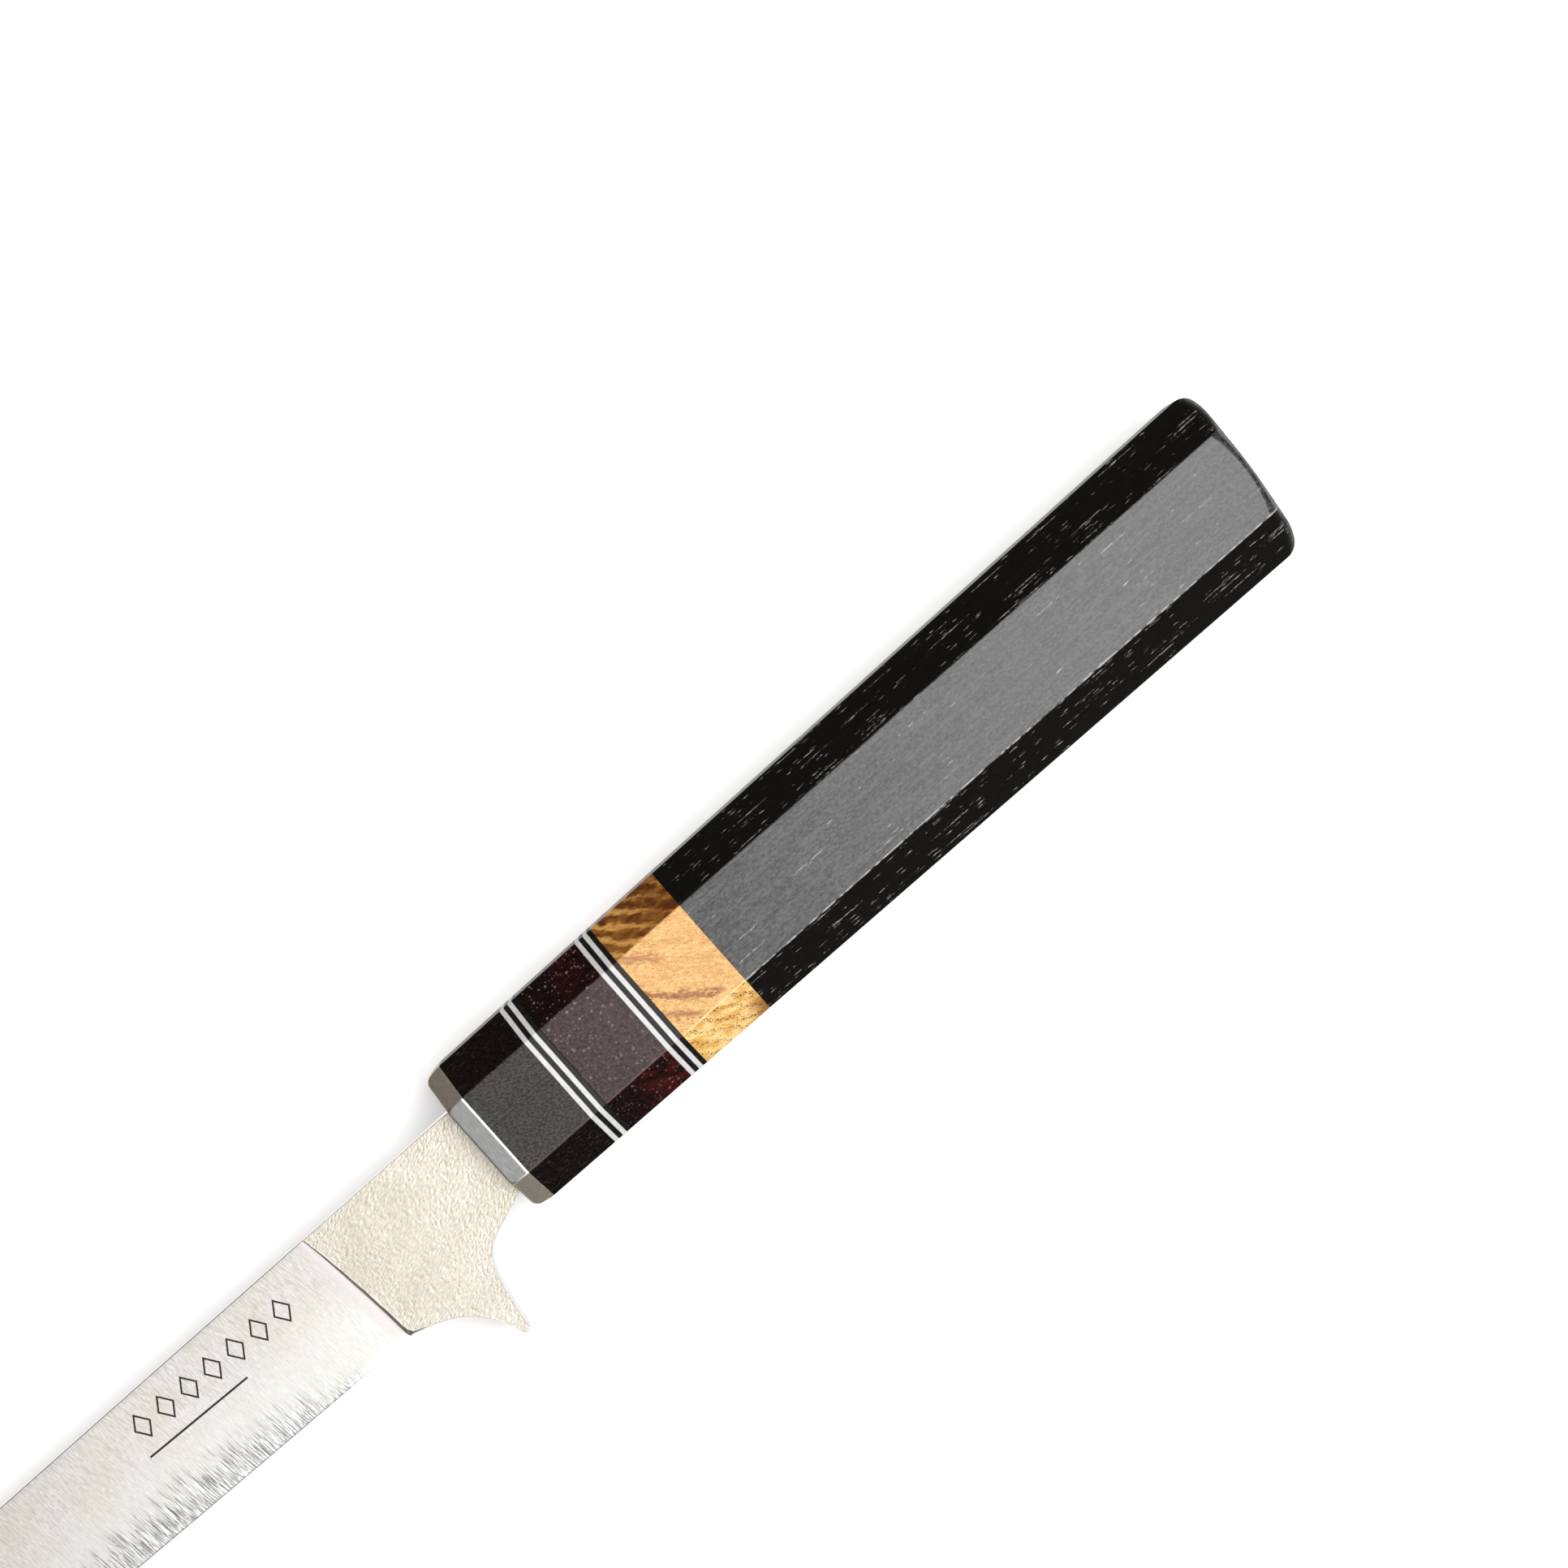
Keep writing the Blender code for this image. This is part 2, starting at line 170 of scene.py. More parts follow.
# The etched device: a rule, and a row of lozenges above it
RULE = ((-121.0, -105.5), -2.1, 0.14)  # X from and to, Y, half the line's width
LOZENGE_ROW = ((-120.9, -95.0), 1.6)  # X from and to, Y
LOZENGE_PITCH = 3.7
LOZENGE_HALF = (1.3, 1.9)
LOZENGE_LINE = 0.12
DEVICE_SLOPE = 0.035  # how fast the device sinks towards the handle

CAMERA_PLACE = Vector((-29.15, 27.1, 400)) * MM
CAMERA_TILT = (radians(-2.73), radians(-3.33))
CAMERA_ROLL = radians(-41.36)
CAMERA_LENS = 71.3
SENSOR_WIDTH = 36
CLIP_START = 0.01

FLOOR_RADIUS = 1.3
FLOOR_SIDES = 96
FLOOR_Z = -0.05 * MM
FLOOR_COLOUR = (0.88, 0.88, 0.88)
FLOOR_ROUGHNESS = 0.9

# Soft boxes: place, size along X and across it, and power
OVERHEAD = ((0.36, -0.02, 1.2), (0.66, 0.90), 14.5)
STRIP = ((0.05, -0.70, 1.0), (1.20, 0.26), 8.5)
SKY_PEAK = Vector((-0.14, 0.0, 1.0)).normalized()
# The surround: cosine of the angle to its peak, brightness there, and how warm it is there
SKY = ((-1.0, 1.0, 0.0), (-0.75, 0.95, 0.0), (-0.45, 0.15, 0.6), (0.0, 0.05, 1.0))
SKY += ((0.25, 0.10, 0.9), (0.6, 0.28, 0.3), (0.87, 0.42, 0.1), (0.94, 0.75, 0.1))
SKY += ((0.975, 1.2, 0.1), (1.0, 1.3, 0.1))
SKY_WARM = (1.0, 0.84, 0.66)
BACKDROP = 1.2  # brightness of the surround as the camera sees it

WHITE_SPACERS = ("front_white_spacer_1", "front_white_spacer_2")
WHITE_SPACERS += ("rear_white_spacer_1", "rear_white_spacer_2")
BLACK_SPACERS = ("front_black_spacer_1", "front_black_spacer_2")
BLACK_SPACERS += ("rear_black_spacer_1", "rear_black_spacer_2")


# ---- the knife's own frame ----


def knife_matrix():
    """X along the handle's axis, Z square to the blade. The lower flat is level, so the axis leans
    by half of the angle between the broad flats. Also the slope of a flat against the axis."""
    near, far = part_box("front_block")[1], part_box("figured_block")[1]
    slope = (far.z - near.z) / (far.x - near.x)
    lean = atan(slope) / 2
    middle = (near.z - near.x * slope) / 2
    place = Matrix.Translation((-middle * sin(lean), 0, middle * cos(lean)))
    return place @ Matrix.Rotation(-lean, 4, "Y"), tan(lean)


KNIFE, TAPER = knife_matrix()


def local_box(node):
    """A CAD node's lowest and highest corners in the knife's own frame."""
    back = KNIFE.inverted()
    corners = np.array([back @ vertex.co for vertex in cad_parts[node].data.vertices])
    return corners.min(0), corners.max(0)


FRONT_X = local_box("ferrule")[0][0]
LAND = local_box("ferrule")[1]


def half_height(x):
    return LAND[1] + TAPER * (x - LAND[0])


def half_thickness(x):
    return LAND[2] + TAPER * (x - LAND[0])


def ahead(distance):
    """X of what lies this far ahead of the ferrule's front face."""
    return FRONT_X - distance


# ---- mesh helpers ----


def finish_mesh(name, bm, materials, sharp=35):
    bmesh.ops.recalc_face_normals(bm, faces=bm.faces)
    mesh = bpy.data.meshes.new(name)
    bm.to_mesh(mesh)
    bm.free()
    mesh.shade_smooth()
    mesh.set_sharp_from_angle(angle=radians(sharp))
    for material in materials:
        mesh.materials.append(material)
    obj = bpy.data.objects.new(name, mesh)
    bpy.context.scene.collection.objects.link(obj)
    obj.matrix_world = KNIFE
    return obj


def show(obj, node):
    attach(obj, "root")
    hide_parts(node)
    return obj


def join_rows(bm, rows):
    for near, far in zip(rows, rows[1:]):
        for i in range(len(near)):
            bm.faces.new((near[i - 1], near[i], far[i], far[i - 1]))


def add_rings(bm, rings):
    """Quads between closed rings of equally many points. Returns the rows of vertices."""
    rows = [[bm.verts.new(point) for point in ring] for ring in rings]
    join_rows(bm, rows)
    return rows


def loop_edges(bm, row):
    return [bm.edges.get((row[i - 1], row[i])) for i in range(len(row))]


def bridge(bm, one, other):
    """An annular face between two closed rows, which may have different numbers of vertices."""
    bmesh.ops.bridge_loops(bm, edges=loop_edges(bm, one) + loop_edges(bm, other))


def bar(rings):
    """A closed bar through these rings."""
    bm = bmesh.new()
    rows = add_rings(bm, rings)
    bm.faces.new(rows[0])
    bm.faces.new(rows[-1])
    return bm


def sleeve(outer_rings, inner_rings):
    """A closed tube between these outer and inner rings."""
    bm = bmesh.new()
    outer, inner = add_rings(bm, outer_rings), add_rings(bm, inner_rings)
    bridge(bm, outer[0], inner[0])
    bridge(bm, outer[-1], inner[-1])
    return bm


def bezier(points, t):
    p = np.array(points)[:, None, :]
    t = np.atleast_1d(t)[:, None]
    s = 1 - t
    return s**3 * p[0] + 3 * t * s**2 * p[1] + 3 * t * t * s * p[2] + t**3 * p[3]


def even_points(path, count):
    """count points at even steps along a polyline."""
    steps = np.hypot(*np.diff(path, axis=0).T)
    along = np.concatenate([[0], np.cumsum(steps)])
    wanted = np.linspace(0, along[-1], count)
    return np.column_stack([np.interp(wanted, along, path[:, axis]) for axis in (0, 1)])


# ---- handle ----


def section(x, inset=0.0, broad_inset=None):
    """The octagon's outline at x as (y, z): eight flats in FLAT_STEPS, eight corner arcs in
    CORNER_STEPS. inset moves the narrow flats inwards, and broad_inset, where it differs, the
    broad ones."""
    broad_inset = inset if broad_inset is None else broad_inset
    height = half_height(x) - inset
    thickness = half_thickness(x) - broad_inset
    broad = BROAD_FLAT / 2 - (inset + broad_inset) / sqrt(2) + broad_inset
    narrow = broad + thickness - height
    half = [(height, narrow), (broad, thickness), (-broad, thickness), (-height, narrow)]
    corners = [np.array(c) for c in half + [(-y, -z) for y, z in half]]
    reach = CORNER_RADIUS * tan(pi / 8)
    outline = []
    for i, corner in enumerate(corners):
        before, after = corners[i - 1], corners[(i + 1) % 8]
        back = (before - corner) / np.linalg.norm(before - corner)
        on = (after - corner) / np.linalg.norm(after - corner)
        centre = corner + (back + on) / np.linalg.norm(back + on) * CORNER_RADIUS / cos(pi / 8)
        start, end = corner + back * reach - centre, corner + on * reach - centre
        for step in range(CORNER_STEPS):
            arm = start + (end - start) * step / CORNER_STEPS
            outline.append(centre + arm / np.linalg.norm(arm) * CORNER_RADIUS)
        stop = after - on * reach
        for step in range(FLAT_STEPS):
            outline.append(corner + on * reach + (stop - corner - on * reach) * step / FLAT_STEPS)
    return outline


def ring_at(x, inset=0.0, broad_inset=None):
    return [(x, y, z) for y, z in section(x, inset, broad_inset)]


def rim_inset(depth, radius):
    """How far a rounded rim stands inside its face, this deep behind the end."""
    return radius - sqrt(radius**2 - max(0, radius - depth) ** 2)


def bore_ring(x):
    angles = np.linspace(0, 2 * pi, BORE_SIDES, endpoint=False)
    return [(x, BORE_RADIUS * cos(angle), BORE_RADIUS * sin(angle)) for angle in angles]


def slot_ring(x, y, z):
    """A rectangle at x, with half its height y and half its thickness z."""
    return [(x, -y, -z), (x, y, -z), (x, y, z), (x, -y, z)]


def build_slice(node, material):
    """One bored slice of the octagon, with its outer rims eased a hair."""
    low, high = local_box(node)
    x0, x1 = low[0] - GLUE_LINE / 2, high[0] + GLUE_LINE / 2
    count = max(2, round((x1 - x0) / SLICE_STEP))
    rings = [ring_at(x0, SEAM_EASE)]
    rings += [ring_at(x) for x in np.linspace(x0 + SEAM_EASE, x1 - SEAM_EASE, count)]
    rings.append(ring_at(x1, SEAM_EASE))
    bm = sleeve(rings, [bore_ring(x0), bore_ring(x1)])
    return show(finish_mesh(node + "_piece", bm, [material]), node)


def build_ferrule(material):
    low, high = local_box("ferrule")
    x0, x1 = low[0], high[0] + GLUE_LINE / 2
    eased = x1 - FERRULE_LAND - x0
    rings = []
    for depth in FERRULE_RIM_DEPTHS:
        ease = FERRULE_EASE * (1 - depth / eased)
        insets = (ease + rim_inset(depth, radius) for radius in FERRULE_RIM_RADII)
        rings.append(ring_at(x0 + depth, *insets))
    rings += [ring_at(x0 + eased), ring_at(x1, LAND_DROP)]
    y, z = TANG_SLOT[0] / 2, TANG_SLOT[1] / 2
    bm = sleeve(rings, [slot_ring(x0, y, z), slot_ring(x1, y, z)])
    piece = finish_mesh("ferrule_piece", bm, [material], FERRULE_SHARP)
    return show(piece, "ferrule")


def butt_ring(crown_x, angle, scale=1.0):
    """A ring of the rim (angle 0 at the handle's flats, pi / 2 on the dome) or, scaled down, of
    the dome."""
    height, thickness = half_height(crown_x), half_thickness(crown_x)

    def dome(y, z):
        sag = DOME_SAG + CORNER_SAG * (y / height) ** 2
        return crown_x + DOME_LEAN * y - (z / thickness) ** 4 * sag

    ring = []
    for i, (y, _) in enumerate(section(crown_x)):
        narrow, broad = BUTT_RIM_RADII
        radius = broad + (narrow - broad) * min(1, abs(y) / height) ** 3
        inset, depth = radius * (1 - cos(angle)), radius * (1 - sin(angle))
        y, z = section(crown_x, inset)[i] * scale
        y, z = section(dome(y, z) - depth, inset)[i] * scale
        ring.append((dome(y, z) - depth, y, z))
    return ring


def build_handle_body(material):
    """The long body: a blind bore in front, a rounded rim and a shallow dome at the butt."""
    low, high = local_box("handle_body")
    bore_end = local_box("core_dowel")[1][0] + GLUE_LINE
    x0 = low[0] - GLUE_LINE / 2
    crown_x = high[0] - BUTT_CROWN
    rings = [ring_at(x0, SEAM_EASE), ring_at(x0 + SEAM_EASE)]
    rings += [butt_ring(crown_x, angle) for angle in np.linspace(0, pi / 2, BUTT_RIM_STEPS + 1)]
    scales = np.linspace(1, 0, DOME_STEPS, endpoint=False)[1:]
    rings += [butt_ring(crown_x, pi / 2, scale) for scale in scales]
    bm = bmesh.new()
    outer = add_rings(bm, rings)
    bm.faces.new(outer[-1])
    inner = add_rings(bm, [bore_ring(x0), bore_ring(bore_end)])
    bm.faces.new(inner[-1])
    bridge(bm, outer[0], inner[0])
    return show(finish_mesh("handle_body_piece", bm, [material]), "handle_body")


# ---- forging: blade, bolster and tang ----


def blade_ring(edge, spine, t):
    """The blade's section between an edge point and a spine point, t of the way to the point."""
    height = np.linalg.norm(spine - edge)
    thickness = SPINE_THICKNESS + (TIP_THICKNESS - SPINE_THICKNESS) * t
    bevel_thickness = min(BEVEL_THICKNESS, thickness / 2)
    bevel = min(BEVEL_HEIGHT / height, BEVEL_SHARE)
    crown = min(SPINE_CROWN, thickness / 4, height / 4)
    rows = [(0.0, EDGE_THICKNESS)]
    top = 1 - crown / height
    for share in np.linspace(0, 1, FACE_STEPS + 1):
        width = bevel_thickness + (thickness - bevel_thickness) * share
        rows.append((bevel + (top - bevel) * share, width))
    for angle in np.linspace(0, pi / 2, CROWN_STEPS + 1)[1:]:
        rows.append((top + crown / height * sin(angle), thickness - 2 * crown * (1 - cos(angle))))
    ring = []
    for side, walk in ((0.5, rows), (-0.5, rows[::-1])):
        for up, width in walk:
            x, y = edge + (spine - edge) * up
            ring.append((ahead(x), y, side * width))
    return ring


def build_blade_bar(materials):
    shares = 1 - (1 - np.linspace(0, 1, BLADE_STATIONS + 1)) ** BLADE_CROWDING
    edges, spines = bezier(EDGE_CURVE, shares), bezier(SPINE_CURVE, shares)
    rings = [blade_ring(edge, spine, t) for edge, spine, t in zip(edges, spines, shares)]
    middle_y = (rings[0][0][1] + SPINE_Y) / 2
    root = []
    for x, y, z in rings[0]:
        root.append((x + ROOT_LENGTH, middle_y + (y - middle_y) * ROOT_SCALE, z * ROOT_SCALE))
    return finish_mesh("forging", bar([root] + rings), materials)


def bolster_grid():
    """Points of the bolster's face: each column runs from the spine to the lower outline, and the
    columns follow one another from the step to the ferrule."""
    shares = np.linspace(0, 1, OUTLINE_STEPS)
    lower = np.vstack([bezier(GUARD_CURVE, shares), [SPUR_TIP], bezier(FINGER_CURVE, shares)])
    outline = even_points(lower, OUTLINE_POINTS)
    across = np.linspace(0, 1, BOLSTER_COLUMNS + 1)
    across = across - COLUMN_CROWDING * np.sin(2 * pi * across)
    bottom = outline[np.round(across * (OUTLINE_POINTS - 1)).astype(int)]
    top_x = STEP_AT_SPINE + (GLUE_LINE - STEP_AT_SPINE) * across
    top = np.column_stack([top_x, np.full(len(across), SPINE_Y)])
    down = np.linspace(0, 1, BOLSTER_ROWS + 1)
    down = (down - ROW_CROWDING * np.sin(2 * pi * down))[:, None, None]
    grid = top[None] + (bottom - top)[None] * down
    down = down[..., 0]
    grid[..., 0] -= STEP_BOW * 4 * down * (1 - down) * (1 - across[None]) ** BOW_FADE
    return grid


def gap(points, line):
    """Distance from each point to the nearest point of the line, and that point's index."""
    away = np.linalg.norm(points[:, None] - line[None], axis=2)
    return away.min(axis=1), away.argmin(axis=1)


def bolster_heights(grid):
    """Half thickness at each grid point: rounded rims, and flat chamfers along the step and around
    the heel. Also how much of the skin's relief is left there."""
    step, spine, lower = grid[:, 0], grid[0], grid[-1]
    step_width = np.linspace(*STEP_CHAMFER, len(step))
    from_heel = np.linalg.norm(lower - lower[0], axis=1)
    lower_width = HEEL_CHAMFER * np.clip(1 - from_heel / HEEL_CHAMFER_LENGTH, 0, 1)
    chamfers = ((step, step_width), (lower, lower_width), (lower[:1], np.array([HEEL_NOTCH])))
    height = np.full(grid.shape[:2], BOLSTER_THICKNESS / 2)
    relief = np.ones(grid.shape[:2])
    for i, row in enumerate(grid):
        rim = np.minimum(gap(row, spine)[0], gap(row, lower)[0])
        drop = RIM_RADIUS - np.sqrt(RIM_RADIUS**2 - np.clip(RIM_RADIUS - rim, 0, RIM_RADIUS) ** 2)
        for line, width in chamfers:
            away, nearest = gap(row, line)
            drop = np.maximum(drop, CHAMFER_SLOPE * np.clip(width[nearest] - away, 0, None))
            rim = np.minimum(rim, np.clip(away - width[nearest], 0, None))
        height[i] -= drop
        relief[i] = np.clip(rim / PEBBLE_FADE, 0, 1)
    return height, relief


def build_bolster(materials):
    """The bolster: both of its wrinkled faces, and the smooth wall around them."""
    grid = bolster_grid()
    height, relief = bolster_heights(grid)
    bm = bmesh.new()
    skin = bm.verts.layers.float.new("relief")
    points = {}
    for side in (1, -1):
        for i in range(grid.shape[0]):
            for j in range(grid.shape[1]):
                x, y = grid[i, j]
                points[side, i, j] = bm.verts.new((ahead(x), y, side * height[i, j]))
                points[side, i, j][skin] = relief[i, j]
        for i in range(BOLSTER_ROWS):
            for j in range(BOLSTER_COLUMNS):
                corner = [(i, j), (i + 1, j), (i + 1, j + 1), (i, j + 1)]
                bm.faces.new([points[side, a, b] for a, b in corner])
    rim = [(0, j) for j in range(BOLSTER_COLUMNS)]
    rim += [(i, BOLSTER_COLUMNS) for i in range(BOLSTER_ROWS)]
    rim += [(BOLSTER_ROWS, j) for j in range(BOLSTER_COLUMNS, 0, -1)]
    rim += [(i, 0) for i in range(BOLSTER_ROWS, 0, -1)]
    rows = [[points[1, i, j] for i, j in rim]]
    ends = [(points[1, i, j].co, points[-1, i, j].co) for i, j in rim]
    for step in range(1, WALL_ROWS):
        rows.append([bm.verts.new(top.lerp(bottom, step / WALL_ROWS)) for top, bottom in ends])
    rows.append([points[-1, i, j] for i, j in rim])
    join_rows(bm, rows)
    for face in bm.faces:
        face.material_index = SKIN_MATERIAL
    bmesh.ops.recalc_face_normals(bm, faces=bm.faces)
    bm.normal_update()
    pebble(bm)
    return finish_mesh("bolster_blank", bm, materials)


def pebble(bm):
    """Raises short wrinkles on the bolster's faces, fading out towards rims and chamfers."""
    turn = Matrix.Rotation(-PEBBLE_LEAN, 3, "Z")
    skin = bm.verts.layers.float["relief"]
    ridge_share, fine_share, level = PEBBLE_MIX
    for vertex in bm.verts:
        place = turn @ vertex.co / PEBBLE_SIZE
        place.x /= PEBBLE_STRETCH
        warp = noise.noise(place * PEBBLE_WARP_SCALE + Vector((7, 3, 1)))
        ridge = 1 - 2 * abs(noise.noise(place + Vector((warp, warp, 0))))
        fine = noise.noise(place * PEBBLE_FINE_SCALE)
        lift = ridge_share * ridge + fine_share * fine + level
        vertex.co += vertex.normal * PEBBLE_HEIGHT * lift * vertex[skin]


def build_tang(materials):
    ends = zip((ahead(TANG_IN_BOLSTER), FRONT_X + TANG_LENGTH), TANG_HEIGHTS)
    rings = [slot_ring(x, height / 2, TANG_THICKNESS / 2) for x, height in ends]
    return finish_mesh("tang_blank", bar(rings), materials)


def build_forging(materials):
    forging = build_blade_bar(materials)
    for blank in (build_bolster(materials), build_tang(materials)):
        union = forging.modifiers.new(blank.name, "BOOLEAN")
        union.operation = "UNION"
        union.solver = "MANIFOLD"
        union.object = blank
        union.material_mode = "INDEX"
    bpy.context.view_layer.update()
    evaluated = forging.evaluated_get(bpy.context.evaluated_depsgraph_get())
    joined = bpy.data.meshes.new_from_object(evaluated)
    forging.modifiers.clear()
    forging.data = joined
    for name in ("bolster_blank", "tang_blank"):
        bpy.data.objects.remove(bpy.data.objects[name])
    return show(forging, "blade")


# ---- materials ----


class Paint:
    """A Principled material whose nodes are added by short calls. Coordinates are the knife's own,
    in mm."""

    def __init__(self, name, roughness, metallic=0.0, **sockets):
        self.material = bpy.data.materials.new(name)
        self.material.use_nodes = True
        self.tree = self.material.node_tree
        self.shader = self.tree.nodes["Principled BSDF"]
        self.shader.inputs["Roughness"].default_value = roughness
        self.shader.inputs["Metallic"].default_value = metallic
        for socket, value in sockets.items():
            self.shader.inputs[socket.replace("_", " ")].default_value = value
        place = self.node("ShaderNodeTexCoord").outputs["Object"]
        scale = self.node("ShaderNodeVectorMath", operation="SCALE")
        scale.inputs["Scale"].default_value = 1 / MM
        self.join(place, scale.inputs[0])
        self.place = scale.outputs[0]

    def node(self, kind, **settings):
        made = self.tree.nodes.new(kind)
        for key, value in settings.items():
            setattr(made, key, value)
        return made

    def join(self, value, socket):
        """Sets a socket to a number, a colour or another node's output."""
        if isinstance(value, bpy.types.NodeSocket):
            self.tree.links.new(value, socket)
        elif isinstance(value, tuple):
            socket.default_value = (*value, 1)
        else:
            socket.default_value = value

    # Arithmetic

    def math(self, operation, *values, clamp=False):
        made = self.node("ShaderNodeMath", operation=operation, use_clamp=clamp)
        for value, socket in zip(values, made.inputs):
            self.join(value, socket)
        return made.outputs[0]

    def plus(self, one, other):
        return self.math("ADD", one, other)

    def minus(self, one, other):
        return self.math("SUBTRACT", one, other)

    def times(self, one, other, clamp=False):
        return self.math("MULTIPLY", one, other, clamp=clamp)

    def absolute(self, value):
        return self.math("ABSOLUTE", value)

    def wave(self, value, pitch):
        """A sine wave from -1 to 1."""
        return self.math("SINE", self.times(value, 2 * pi / pitch))

    def between(self, value, low, high):
        above = self.math("GREATER_THAN", value, low)
        return self.times(above, self.math("LESS_THAN", value, high))

    def fit(self, value, low, high, to_low=0.0, to_high=1.0):
        """Maps low..high to to_low..to_high with a smooth step."""
        made = self.node("ShaderNodeMapRange", interpolation_type="SMOOTHSTEP")
        self.join(value, made.inputs["Value"])
        settings = (("From Min", low), ("From Max", high), ("To Min", to_low), ("To Max", to_high))
        for name, setting in settings:
            self.join(setting, made.inputs[name])
        return made.outputs["Result"]

    # Places

    def parts(self, vector):
        made = self.node("ShaderNodeSeparateXYZ")
        self.join(vector, made.inputs[0])
        return made.outputs

    def axis(self, letter):
        return self.parts(self.place)[letter]

    def facing(self, letter):
        """One coordinate of the surface's normal in the knife's own frame."""
        return self.parts(self.node("ShaderNodeTexCoord").outputs["Normal"])[letter]

    def aside(self):
        """0 on the broad flats, 1 on the chamfers."""
        return self.fit(self.absolute(self.axis("Y")), *FLAT_TO_CHAMFER)

    def stretched(self, size, turn=(0, 0, 0), shift=(0, 0, 0)):
        """Coordinates in which features of this size are one unit. size is in mm along X, Y and Z,
        after the turn."""
        spun = self.node("ShaderNodeMapping")
        spun.inputs["Rotation"].default_value = turn
        spun.inputs["Location"].default_value = shift
        self.join(self.place, spun.inputs["Vector"])
        sized = self.node("ShaderNodeVectorMath", operation="DIVIDE")
        self.join(spun.outputs[0], sized.inputs[0])
        sized.inputs[1].default_value = size
        return sized.outputs[0]

    # Patterns

    def noise(self, size, turn=(0, 0, 0), shift=(0, 0, 0), detail=2.0, rough=0.5):
        made = self.node("ShaderNodeTexNoise")
        made.inputs["Scale"].default_value = 1.0
        made.inputs["Detail"].default_value = detail
        made.inputs["Roughness"].default_value = rough
        self.join(self.stretched(size, turn, shift), made.inputs["Vector"])
        return made.outputs["Fac"]

    def dots(self, size):
        """Distance to the nearest of scattered points, and a random value per point."""
        made = self.node("ShaderNodeTexVoronoi")
        made.inputs["Scale"].default_value = 1.0
        self.join(self.stretched(size), made.inputs["Vector"])
        value = self.node("ShaderNodeSeparateColor")
        self.join(made.outputs["Color"], value.inputs[0])
        return made.outputs["Distance"], value.outputs[0]

    # Colours and the shader's own sockets

    def mix(self, share, one, other):
        made = self.node("ShaderNodeMix", data_type="RGBA")
        self.join(share, made.inputs[0])
        self.join(one, made.inputs[6])
        self.join(other, made.inputs[7])
        return made.outputs[2]

    def grey(self, value):
        made = self.node("ShaderNodeCombineColor")
        for socket in made.inputs[:3]:
            self.join(value, socket)
        return made.outputs[0]

    def painted_edge_highlight(self, tone, light, strength=1.0):
        """Paints a highlight along the edge between a broad flat and the chamfer on the edge's
        side.
        """
        away = self.absolute(self.plus(self.axis("Y"), FLAT_EDGE))
        return self.mix(self.fit(away, 0.04, 0.15, strength, 0.0), tone, light)

    def colour(self, value):
        self.join(value, self.shader.inputs["Base Color"])

    def roughness(self, value):
        self.join(value, self.shader.inputs["Roughness"])

    def bump(self, height, depth):
        """Relief whose full height is depth mm."""
        made = self.node("ShaderNodeBump")
        made.inputs["Distance"].default_value = depth * MM
        self.join(height, made.inputs["Height"])
        self.join(made.outputs[0], self.shader.inputs["Normal"])


def black_wood():
    """Near-black open-pored wood: pale pores along the grain, few of them on the broad flats, and a
    dull end grain. Painted light and shade: the broad flats' base is far lighter than the
    chamfers', and a painted highlight runs along the edge between a broad flat and the chamfer on
    the edge's side."""
    paint = Paint("black_wood", 0.34, Specular_IOR_Level=0.41)
    pore_dim, pore_pale = (0.07, 0.068, 0.064), (0.25, 0.24, 0.23)
    edge_highlight_tone = (0.34, 0.33, 0.32)
    aside = paint.aside()

    fine = paint.noise((0.60, 0.32, 0.32), shift=(2, 2, 2), detail=5, rough=0.7)
    streak = paint.noise((7.0, 0.5, 0.5), shift=(0, 3, 1), detail=3)
    grain = paint.plus(paint.times(fine, 0.75), paint.times(streak, 0.25))
    # Painted light and shade: the base on the broad flats reaches far lighter than on the chamfers
    painted_flat_light = paint.fit(aside, 0.0, 1.0, 0.072, 0.002)
    base = paint.grey(paint.fit(grain, 0.35, 0.66, 0.0008, painted_flat_light))

    ragged = paint.noise((0.55, 0.16, 0.16), shift=(4, 4, 4), detail=2)
    ragged = paint.times(paint.minus(ragged, 0.5), 0.8)
    pale = paint.noise((1.2, 0.4, 0.4), shift=(1, 5, 2))
    pale = paint.mix(paint.fit(pale, 0.38, 0.62), pore_dim, pore_pale)
    for size, bare in (((11.0, 0.46, 0.46), 0.50), ((2.6, 0.40, 0.40), 0.58)):
        distance, random = paint.dots(size)
        bare = paint.fit(aside, 0.0, 1.0, 0.86, bare)
        pore = paint.minus(0.26, paint.plus(distance, ragged))
        pore = paint.times(paint.fit(pore, 0.0, 0.16), paint.math("GREATER_THAN", random, bare))
        base = paint.mix(pore, base, pale)

    dash = paint.noise((1.2, 1.0, 1.0), shift=(6, 0, 0), detail=3)
    # Painted highlight along the edge between the broad flats and the chamfer on the edge's side,
    # broken up by the dashes
    paint.colour(paint.painted_edge_highlight(base, edge_highlight_tone, paint.fit(dash, 0.36, 0.60)))
    end_grain = paint.fit(paint.facing("X"), 0.88, 0.97, 0.0, 0.8)
    paint.roughness(paint.math("MAXIMUM", paint.fit(grain, 0.3, 0.7, 0.32, 0.38), end_grain))
    paint.bump(grain, 0.012)
    return paint.material


